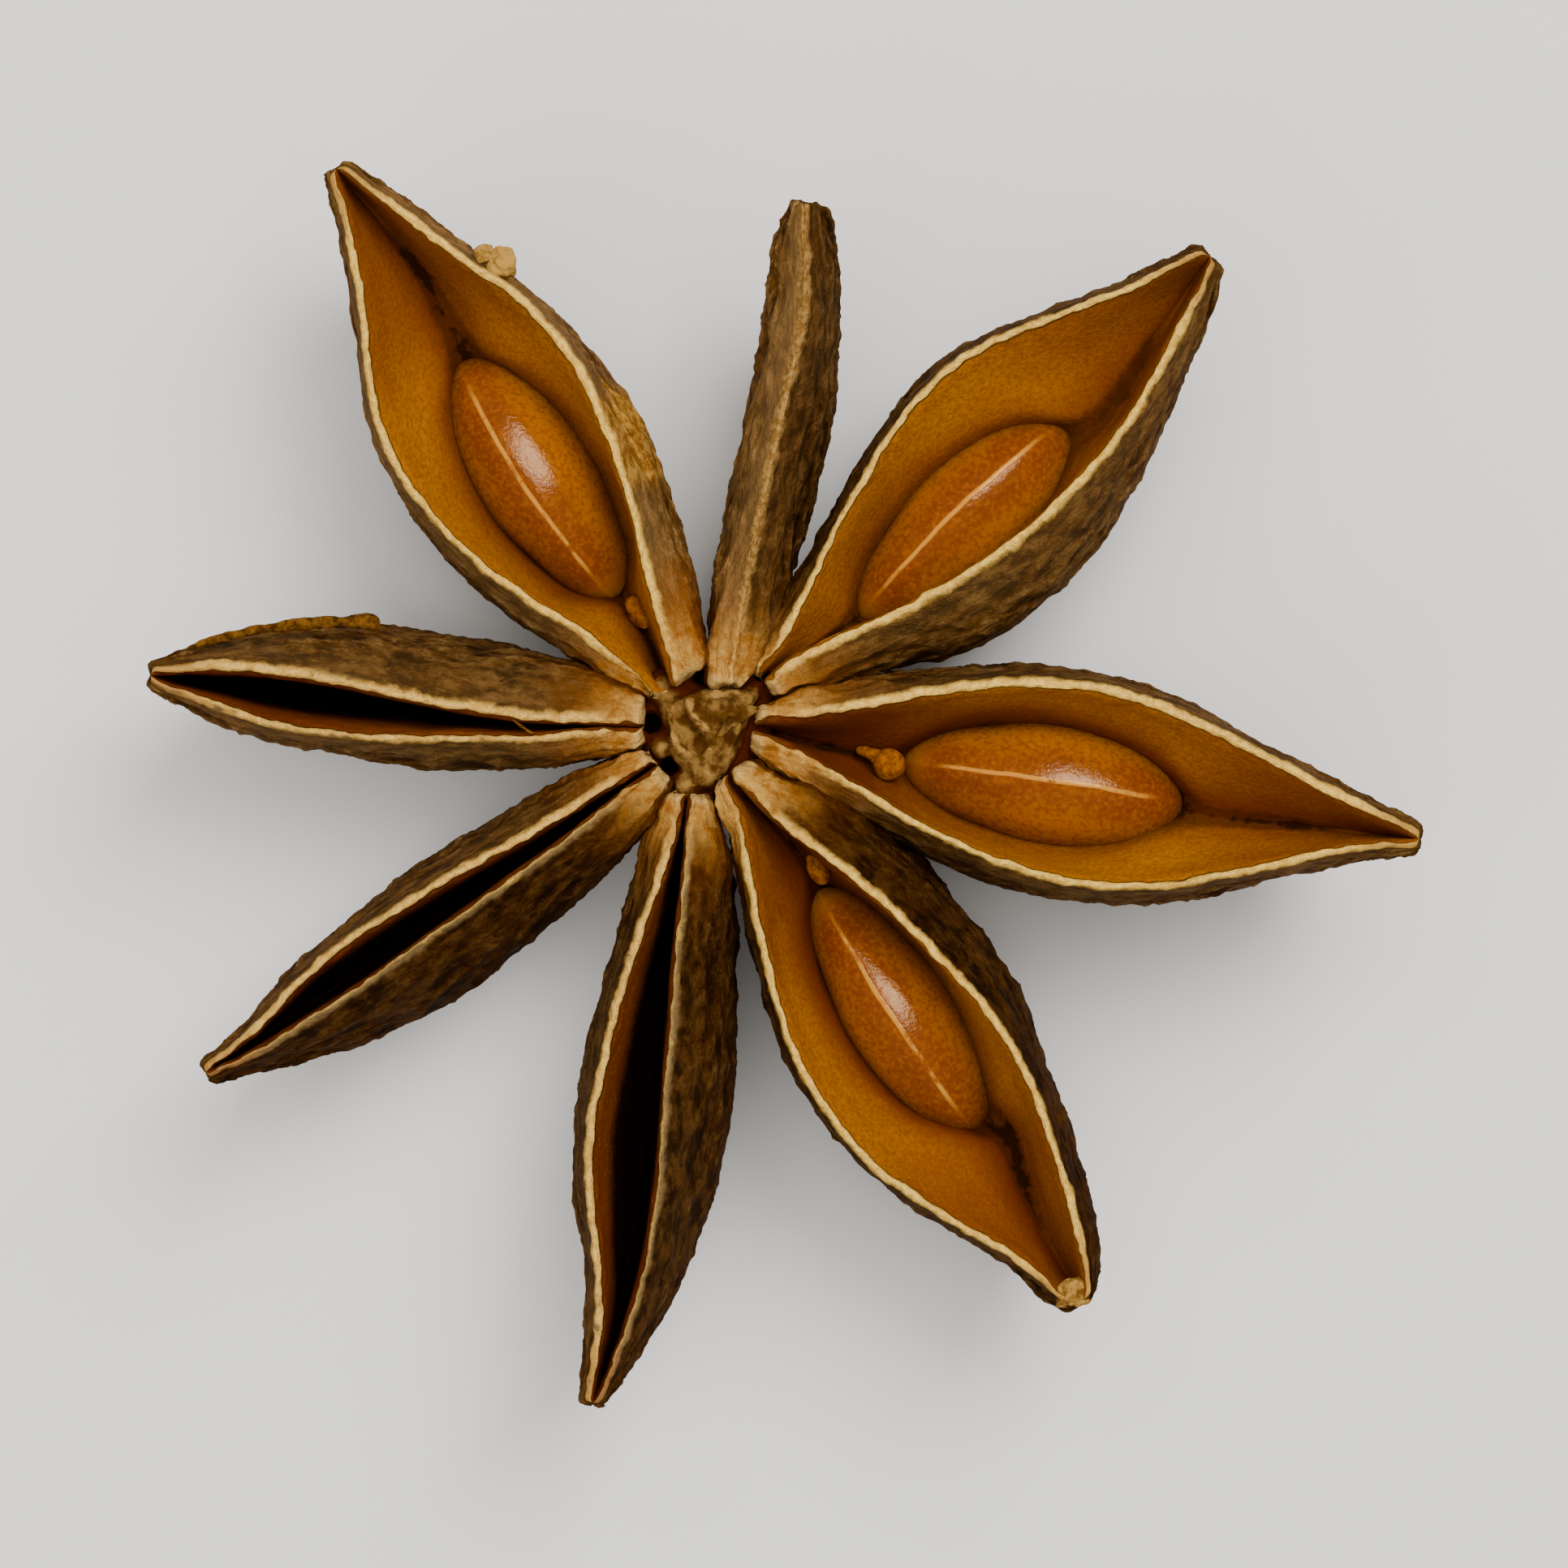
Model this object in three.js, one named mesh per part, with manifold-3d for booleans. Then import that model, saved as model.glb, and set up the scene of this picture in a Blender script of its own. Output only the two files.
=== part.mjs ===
// A star anise pod: eight boat-shaped carpels fused round a short column, four of them wide open on
// a seed, three split by a narrow cleft and one still shut. Millimetres, +Z up, mouths upward.
// The pod stands on the flats of its keels, with the origin under the middle of its box.

import * as THREE from 'three';
import { mergeVertices } from 'three/addons/utils/BufferGeometryUtils.js';
import Module from 'manifold-3d';

const wasm = await Module();
wasm.setup();

// Driving dimensions shared by all carpels.

const LIP = 0.38; // thickness of a lip beyond its pad
const PAD = 0.62; // thickness of a lip at its flat inner end beside the column
const PAD_END = 0.34; // part of the reach by which a pad has thinned to a lip
const ROOT = 1.45; // distance from the axis at which the carpels' tops begin
const SECTOR = 0.43; // half width a carpel may have beside its neighbours, for each mm of radius
const DEEPEST = 0.64; // part of the reach at which a keel is lowest
const ROOT_DEPTH = 0.6; // depth at the column, as a part of the greatest depth
const TIP_DEPTH = 0.1; // depth of the blunt beak, as a part of the greatest depth
const CLOSING = 0.95; // part of the reach beyond which the two lips run together
const SEED_SUNK = 1.15; // depth of a seed's top edge under the lips
const SEED_HEIGHT = 4.3;
const SEED_GAP = 0.3; // clearance round a seed in its pocket
const WALL = 0.75; // least thickness of a carpel under its cleft
const ROOT_CLEFT = 0.55; // depth of the cleft where it starts at the column
const SHUT_GAP = 0.12; // width and depth of the cleft where the lips have run together
const FLOOR = -7.95; // height of the table under the lips at the column
const RELIEF = 0.13; // depth of the coarse wrinkles on the outer skin

// The column: a rough cap inside the ring of carpels, its stem, and the stub of the stalk below.

const CAP = { radius: 1.22, top: -0.12, lobes: 0.13, sides: 14 };
const STEM = { top: -0.95, bottom: -5.2, topRadius: 2.1, bottomRadius: 1.5, sides: 20 };
const STALK = { bottom: -6.7, radius: 0.85, sides: 10 };

// One entry for each carpel, anticlockwise. azimuth in degrees, lengths in millimetres, and:
// gape     greatest distance between the lips, at the part of the reach called widest
// spread   how fast the gape falls off towards the column and towards the tip
// sway     sideways bends of the centre line near the column, at one third and at two thirds
// lean     sideways shift of the keel at the column and at the tip, to the left if positive
// belly    half the thickness of the body; depth: lips to keel; rise: height of the tip
// tilt     height of the left lip over the right one; beak: how much slimmer the very tip is
// cleft    depth of the V between the walls at the widest place
// seed     from, to: its ends along the reach; width; shift: sideways; knob: radius of its stalk

const CARPELS = [
  {
    name: 'right', azimuth: -8.5, reach: 18.75, gape: 5.3, widest: 0.52, spread: [0.33, 0.32],
    sway: [0.05, 0.42, -0.3], lean: [0.3, -0.3], belly: 2.95, depth: 8.58, rise: 0.7, tilt: 0.2,
    beak: 0.6, cleft: 3.1, seed: { from: 5.15, to: 12.65, width: 3.2, shift: 0.06, knob: 0.5 },
  },
  {
    name: 'upper_right', azimuth: 43.6, reach: 18.05, gape: 4.8, widest: 0.58, spread: [0.32, 0.32],
    sway: [0.05, 0.45, 0.2], lean: [-1.5, -1.3], belly: 2.9, depth: 8.67, rise: 0.9, tilt: -0.8,
    beak: 0.6, cleft: 3.0, seed: { from: 4.95, to: 12.4, width: 3.1, shift: -0.4, knob: 0 },
  },
  {
    name: 'upper', azimuth: 79.7, reach: 14.05, gape: 0, widest: 0.6, spread: [0.6, 0.4],
    sway: [-0.6, -0.25, -1.35], lean: [0.2, 0.1], belly: 1.25, depth: 8.2, rise: 1.3, tilt: 0,
    beak: 1.35, cleft: 0,
  },
  {
    name: 'upper_left', azimuth: 123.4, reach: 17.65, gape: 5.6, widest: 0.57, spread: [0.39, 0.3],
    sway: [0.2, 1.24, -0.13], lean: [-1.9, 0.3], belly: 2.95, depth: 8.55, rise: 0.6, tilt: -0.5,
    beak: 0.6, cleft: 3.2, seed: { from: 4.25, to: 11.85, width: 3.4, shift: -0.2, knob: 0.42 },
  },
  {
    name: 'left', azimuth: 174.1, reach: 14.7, gape: 1.65, widest: 0.76, spread: [0.4, 0.17],
    sway: [0, 0.7, 0.58], lean: [-1.2, -1.4], belly: 1.75, depth: 8.38, rise: 0.2, tilt: -0.3,
    beak: 0.6, cleft: 3.9, peel: { from: 8.7, to: 14.2, shift: -1.35, turn: 14, sunk: 0.55, radius: 0.34 },
  },
  {
    name: 'lower_left', azimuth: -146.2, reach: 15.8, gape: 1.15, widest: 0.62, spread: [0.6, 0.29],
    sway: [0.05, -0.65, 0.1], lean: [0.8, 1.0], belly: 1.6, depth: 8.1, rise: 0, tilt: 0.2,
    beak: 0.85, cleft: 3.6,
  },
  {
    name: 'lower', azimuth: -99.9, reach: 17.75, gape: 1.95, widest: 0.62, spread: [0.4, 0.24],
    sway: [0, -0.92, 0.32], lean: [1.0, 1.4], belly: 1.9, depth: 8.42, rise: 0.3, tilt: 0.3,
    beak: 0.6, cleft: 4.4,
  },
  {
    name: 'lower_right', azimuth: -57, reach: 17.7, gape: 5.1, widest: 0.57, spread: [0.34, 0.34],
    sway: [0.1, -1.3, 0.45], lean: [1.2, 1.7], belly: 2.85, depth: 8.42, rise: 0.3, tilt: 0.5,
    beak: 1.1, cleft: 3.1, seed: { from: 4.85, to: 12.6, width: 3.25, shift: 0.1, knob: 0.45 },
  },
];

// Section levels down a carpel's side, as parts of the depth, and the stations along its reach.

const LEVELS = [0, 0.09, 0.25, 0.43, 0.62, 0.8, 0.93];
const STATIONS = 19;

const SKIN = { color: 0x4a2f17, roughness: 0.9, metalness: 0 };
const SEED_SKIN = { color: 0xa0560c, roughness: 0.25, metalness: 0 };

const { clamp, degToRad, lerp, smoothstep } = THREE.MathUtils;

// ---- Curves along a carpel; s runs from 0 on the column's axis to 1 at the tip.

const bell = (s, middle, [inner, outer]) => {
  const spread = s < middle ? inner : outer;
  return Math.exp(-(((s - middle) / spread) ** 2));
};

const gapeAt = (carpel, s) => {
  const together = 1 - smoothstep(s, CLOSING, 1.02);
  return carpel.gape * bell(s, carpel.widest, carpel.spread) * together;
};

const centreAt = ({ sway }, s) => {
  const r = 1 - s;
  return sway[0] * r ** 3 + 3 * sway[1] * r * r * s + 3 * sway[2] * r * s * s;
};

const lipHeight = ({ rise }, s) => rise * s * s + 0.25 * Math.sin(Math.PI * s);

const lipThickness = (s) => lerp(PAD, LIP, smoothstep(s, 0.1, PAD_END));

const depthAt = ({ depth }, s) => {
  if (s < DEEPEST) {
    return depth * lerp(ROOT_DEPTH, 1, Math.sin((Math.PI / 2) * (s / DEEPEST)));
  }
  const beyond = Math.min((s - DEEPEST) / (1 - DEEPEST), 1);
  return depth * Math.max(TIP_DEPTH, (1 - beyond ** 2.1) ** 0.72);
};

// Half the width over the lips, and half the thickness of the body below them.

const slimming = ({ beak }, s) => lerp(1, beak, smoothstep(s, 0.82, 1));

const topHalf = (carpel, s) => {
  const free = gapeAt(carpel, s) / 2 + lipThickness(s) * slimming(carpel, s);
  return Math.min(free, SECTOR * s * carpel.reach);
};

const bodyHalf = (carpel, s) => {
  const free = carpel.belly * bell(s, 0.52, [0.5, 0.38]) * slimming(carpel, s);
  return Math.min(free, 1.15 * SECTOR * s * carpel.reach);
};

const leanAt = (carpel, s, level) => {
  const keel = lerp(carpel.lean[0], carpel.lean[1], s) * (depthAt(carpel, s) / carpel.depth);
  return keel * Math.sin((Math.PI / 2) * level);
};

// Coarse wrinkles that run mostly along the carpel, different on each one and on its two sides.

const wrinkle = (carpel, s, level, side) => {
  const start = carpel.azimuth * 0.21 + side * 1.7;
  const along = Math.sin(11 * s + 9 * level + start);
  const across = Math.sin(23 * s - 13 * level + 2.3 * start);
  return RELIEF * (0.6 * along + 0.5 * across) * Math.sin(Math.PI * clamp(level, 0.02, 1)) ** 0.5;
};

// Sideways place of the skin on one side (1 left, -1 right) at a level of the depth.

const skinSide = (carpel, s, level, side) => {
  const swelling = lerp(topHalf(carpel, s), bodyHalf(carpel, s), smoothstep(level, 0, 0.5));
  const rounding = (1 - level ** 3.2) ** 0.55;
  const relief = wrinkle(carpel, s, level, side) * Math.min(1, bodyHalf(carpel, s) / 1.2);
  return centreAt(carpel, s) + leanAt(carpel, s, level) + side * (swelling * rounding + relief);
};

const tiltedLip = (carpel, s, offset) => {
  const share = offset / Math.max(topHalf(carpel, s), 0.2);
  return lipHeight(carpel, s) + (carpel.tilt / 2) * share * Math.sin(Math.PI * clamp(s, 0, 1));
};

// ---- Solids.

// A closed mesh through rings of equal length, each wound alike, with both ends capped. The ends
// are flat and their outline is seen along the axis given as flat: [first, second] coordinate.

const loft = (rings, flat) => {
  const count = rings[0].length;
  const last = rings.length - 1;
  const triangles = [];
  for (let i = 0; i < last; i++) {
    for (let j = 0; j < count; j++) {
      const a = i * count + j;
      const b = i * count + ((j + 1) % count);
      triangles.push(a, b + count, b, a, a + count, b + count);
    }
  }
  const end = (ring) => {
    const outline = ring.map((p) => new THREE.Vector2(p[flat[0]], p[flat[1]]));
    return THREE.ShapeUtils.triangulateShape(outline, []);
  };
  for (const [a, b, c] of end(rings[0])) {
    triangles.push(a, c, b);
  }
  for (const [a, b, c] of end(rings[last])) {
    triangles.push(last * count + a, last * count + b, last * count + c);
  }
  return new THREE.BufferGeometry().setFromPoints(rings.flat()).setIndex(triangles);
};

const toSolid = (geometry) => {
  const bare = geometry.clone();
  bare.deleteAttribute('normal');
  bare.deleteAttribute('uv');
  const merged = mergeVertices(bare, 1e-5);
  const vertProperties = new Float32Array(merged.attributes.position.array);
  const triVerts = new Uint32Array(merged.index.array);
  return new wasm.Manifold(new wasm.Mesh({ numProp: 3, vertProperties, triVerts }));
};

const toGeometry = (solid) => {
  const mesh = solid.getMesh();
  const geometry = new THREE.BufferGeometry();
  geometry.setAttribute('position', new THREE.BufferAttribute(mesh.vertProperties, 3));
  geometry.setIndex(new THREE.BufferAttribute(mesh.triVerts, 1));
  geometry.computeVertexNormals();
  return geometry;
};

const stations = (count, from, to) =>
  Array.from({ length: count }, (_, i) => lerp(from, to, 1 - (1 - i / (count - 1)) ** 1.25));

// The skin from the left lip round the keel to the right lip.

const skinRow = (carpel, s) => {
  const at = (y, level) => {
    const base = tiltedLip(carpel, s, level < 1 ? y - centreAt(carpel, s) : 0);
    return new THREE.Vector3(s * carpel.reach, y, base - level * depthAt(carpel, s));
  };
  const left = LEVELS.map((level) => at(skinSide(carpel, s, level, 1), level));
  const right = LEVELS.map((level) => at(skinSide(carpel, s, level, -1), level));
  const keel = at(centreAt(carpel, s) + leanAt(carpel, s, 1), 1);
  return [...left, keel, ...right.reverse()];
};

// The V between the walls, from the right lip down to the crease and up to the left lip.

const cleftRow = (carpel, s) => {
  const gape = gapeAt(carpel, s);
  const half = Math.max(gape / 2, SHUT_GAP / 2);
  const full = depthAt(carpel, s);
  const deep = lerp(ROOT_CLEFT, carpel.cleft, (gape / carpel.gape) ** 0.8);
  const depth = Math.max(Math.min(deep, full - WALL), SHUT_GAP);
  const at = (side, [width, level]) => {
    const offset = side * width * half;
    const y = centreAt(carpel, s) + leanAt(carpel, s, (level * depth) / full) + offset;
    return new THREE.Vector3(s * carpel.reach, y, tiltedLip(carpel, s, offset) - level * depth);
  };
  const wall = [[1, 0], [0.82, 0.25], [0.46, 0.64]];
  const right = wall.map((place) => at(-1, place));
  const left = wall.map((place) => at(1, place));
  return [...right, at(0, [0, 1]), ...left.reverse()];
};

const body = (carpel) => {
  const rings = stations(STATIONS, ROOT / carpel.reach, 1).map((s) => {
    const inner = carpel.gape > 0 ? cleftRow(carpel, s) : [];
    return [...skinRow(carpel, s), ...inner];
  });
  return loft(rings, ['y', 'z']);
};

// A seed lies lengthwise, edge up and pointed at its inner end; grown gives its pocket.

const seedShape = (carpel, grown) => {
  const { from, to, width, shift } = carpel.seed;
  const length = to - from;
  const middle = (from + to) / 2 / carpel.reach;
  const geometry = new THREE.SphereGeometry(1, 14, 12).rotateZ(Math.PI / 2);
  const points = geometry.attributes.position;
  for (let i = 0; i < points.count; i++) {
    const along = points.getX(i);
    const slim = 1 - 0.1 * Math.max(0, -along) - 0.03 * Math.max(0, along);
    points.setY(i, points.getY(i) * slim);
    points.setZ(i, points.getZ(i) * slim);
  }
  const half = SEED_HEIGHT / 2 + grown;
  geometry.scale(length / 2 + grown, width / 2 + grown, half);
  const level = (SEED_SUNK + SEED_HEIGHT / 2) / depthAt(carpel, middle);
  const lean = leanAt(carpel, middle, level);
  geometry.rotateX(lean / depthAt(carpel, middle));
  const y = centreAt(carpel, middle) + lean + shift;
  const z = lipHeight(carpel, middle) - SEED_SUNK - SEED_HEIGHT / 2;
  return geometry.translate((from + to) / 2, y, z);
};

// The small ball by which a seed hung, at the seed's inner end.

const knob = (carpel) => {
  const { from, knob: radius, shift } = carpel.seed;
  const s = (from - radius) / carpel.reach;
  const geometry = new THREE.SphereGeometry(radius, 8, 6);
  const y = centreAt(carpel, s) + leanAt(carpel, s, 0.2) + shift;
  return geometry.translate(from - radius - 0.2, y, lipHeight(carpel, s) - 1.5);
};

// A strip of outer skin that has lifted off beside a lip.

const peel = (carpel) => {
  const { from, to, shift, turn, sunk, radius } = carpel.peel;
  const middle = (from + to) / 2;
  const geometry = new THREE.SphereGeometry(1, 8, 8).rotateZ(Math.PI / 2);
  geometry.scale((to - from) / 2, radius, radius).rotateZ(degToRad(turn));
  return geometry.translate(middle, shift, lipHeight(carpel, middle / carpel.reach) - sunk);
};

const capOfColumn = () => {
  const ring = (height, scale) =>
    Array.from({ length: CAP.sides }, (_, i) => {
      const angle = (-2 * Math.PI * i) / CAP.sides;
      const lobes = 1 + CAP.lobes * (Math.sin(3 * angle + 0.6) + 0.5 * Math.sin(5 * angle + 2));
      const radius = CAP.radius * scale * lobes;
      const lump = scale < 1 ? 0.07 * Math.sin(4 * angle + 1) : 0;
      return new THREE.Vector3(radius * Math.cos(angle), radius * Math.sin(angle), height + lump);
    });
  const top = CAP.top;
  const rings = [ring(STEM.top - 0.2, 1), ring(top - 0.2, 1), ring(top, 0.82), ring(top - 0.08, 0.4)];
  return loft(rings, ['x', 'y']);
};

const upright = ({ bottom, sides }, top, topRadius, bottomRadius) => {
  const height = top - bottom;
  const geometry = new THREE.CylinderGeometry(topRadius, bottomRadius, height, sides);
  return geometry.rotateX(Math.PI / 2).translate(0, 0, bottom + height / 2);
};

const onCarpel = (carpel, shape) => toSolid(shape.rotateZ(degToRad(carpel.azimuth)));

const husk = () => {
  let solid = toSolid(upright(STEM, STEM.top, STEM.topRadius, STEM.bottomRadius));
  for (const carpel of CARPELS) {
    solid = solid.add(onCarpel(carpel, body(carpel)));
  }
  for (const carpel of CARPELS.filter(({ seed }) => seed)) {
    solid = solid.subtract(onCarpel(carpel, seedShape(carpel, SEED_GAP)));
    if (carpel.seed.knob > 0) {
      solid = solid.add(onCarpel(carpel, knob(carpel)));
    }
  }
  for (const carpel of CARPELS.filter((one) => one.peel)) {
    solid = solid.add(onCarpel(carpel, peel(carpel)));
  }
  solid = solid.add(toSolid(capOfColumn()));
  solid = solid.add(toSolid(upright(STALK, STEM.bottom + 0.3, STALK.radius, STALK.radius)));
  const table = new THREE.BoxGeometry(60, 60, 10).translate(0, 0, FLOOR - 5);
  return solid.subtract(toSolid(table));
};

// ---- The pod, moved so that it stands on z = 0 over the middle of its box.

const pod = new THREE.Group();

const addPiece = (name, geometry, look) => {
  const mesh = new THREE.Mesh(geometry, new THREE.MeshStandardMaterial(look));
  mesh.name = name;
  pod.add(mesh);
};

addPiece('pod', toGeometry(husk()), SKIN);

for (const carpel of CARPELS.filter(({ seed }) => seed)) {
  const shape = seedShape(carpel, 0).rotateZ(degToRad(carpel.azimuth));
  addPiece(`seed_${carpel.name}`, toGeometry(toSolid(shape)), SEED_SKIN);
}

const box = new THREE.Box3().setFromObject(pod, true);
const centre = box.getCenter(new THREE.Vector3());
pod.position.set(-centre.x, -centre.y, -box.min.z);
pod.updateMatrixWorld(true);

export default pod;
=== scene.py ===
import math

import bmesh
import bpy
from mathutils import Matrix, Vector


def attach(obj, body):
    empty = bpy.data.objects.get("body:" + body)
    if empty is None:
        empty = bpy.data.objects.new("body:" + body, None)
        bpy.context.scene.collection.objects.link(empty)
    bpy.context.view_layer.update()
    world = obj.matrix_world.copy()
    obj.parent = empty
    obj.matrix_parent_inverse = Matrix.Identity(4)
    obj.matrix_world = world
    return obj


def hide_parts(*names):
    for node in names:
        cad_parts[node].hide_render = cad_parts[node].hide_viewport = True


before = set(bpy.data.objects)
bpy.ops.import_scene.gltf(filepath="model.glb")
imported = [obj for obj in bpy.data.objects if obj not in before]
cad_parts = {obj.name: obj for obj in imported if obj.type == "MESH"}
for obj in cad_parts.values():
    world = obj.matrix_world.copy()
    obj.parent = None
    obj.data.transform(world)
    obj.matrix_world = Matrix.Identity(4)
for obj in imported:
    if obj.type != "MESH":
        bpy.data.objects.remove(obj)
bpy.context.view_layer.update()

# A star anise pod: eight woody carpels round a short column, with a glossy seed in each open one.
# Every carpel is modelled in millimetres along +X with its lips near z = 0, then scaled, turned to
# its azimuth and set down where the solids of the frame have it.

# ---- Sizes, in millimetres.

MM = 0.001
AXIS = (-1.973, 1.312)          # the column's axis in the frame
LIPS = 7.95                     # height of the lips at the column over the floor

DEEPEST = 0.64                  # part of the reach at which a keel is lowest
ROOT_DEPTH = 0.6                # depth at the column, as a part of the greatest depth
TIP_DEPTH = 0.1                 # depth of the blunt beak, as a part of the greatest depth
ROOT_CLEFT = 0.9                # depth of the cleft where it starts at the column
POCKET = 1.95                   # depth of a pocket's rim under the lips
POCKET_GAP = 0.07               # clearance between a seed and the rim of its pocket
SEED_SUNK = 1.1                 # depth of a seed's top edge under the lips
SEED_HEIGHT = 4.3               # of a seed on its edge
SEAM = 0.04                     # clearance between neighbouring carpels at the column
SEED_RIB = 0.07                 # height of the rib along a seed's top edge
KEEL_CLEAR = 0.09               # what the skin's relief adds below a keel at most
LIP_ARCH = 0.25                 # how far the lips arch up midway
LIP_INNER = 0.08                # depth of a lip's inner edge
LIP_OUTER = 0.13                # depth of a lip's outer edge
LIP_CROWN = 0.03                # height of a lip between its edges
THINNEST = 0.15                 # least thickness of a lip
FREE_SPACE = 4                  # how far a carpel's bounds give way outside the column
HUSK_FLOOR = 0.8                # least depth of husk under a cleft
CREASE_FLAT = 0.1               # half the width of the crease, as a part of the opening
KNOB_SUNK = 1.5                 # depth of the knob by which a seed hangs

# One entry for each carpel, anticlockwise, with the names of the solids. All of it is in the
# carpel's own frame: x from the column's axis outwards and y to the left. Pairs are for its left
# and its right side, but lean is for its root and its tip.
#   azimuth  where it points, in degrees
#   bounds   angles to the seams with its neighbours, in degrees
#   dark     how dark the skin of its flanks is, from 0 to 1, from age and from painted shade
#   depth    of its keel at the lowest
#   rise     how much higher its lips are at the tip
#   lean     how far its keel stands off to the left
#   lips     their thickness
#   cleft    depth of the cleft between them, 0 if sealed
#   deep  painted shade on its inner walls, from 0 to 1, most on the side turned from the light
#   plan     stations of x and then, from left to right: the skin's reach, the two lips' inner
#            edges, and the skin's reach on the other side
#   fold     the line of the crease, as (x, y)
#   seed     its ends, its width, the y of its middle and how far left of that its rib is
#   knob     by which the seed hangs, as x, y, length and width
#   bits     what has frayed or crumbled, each with its kind and then its place or path

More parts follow.
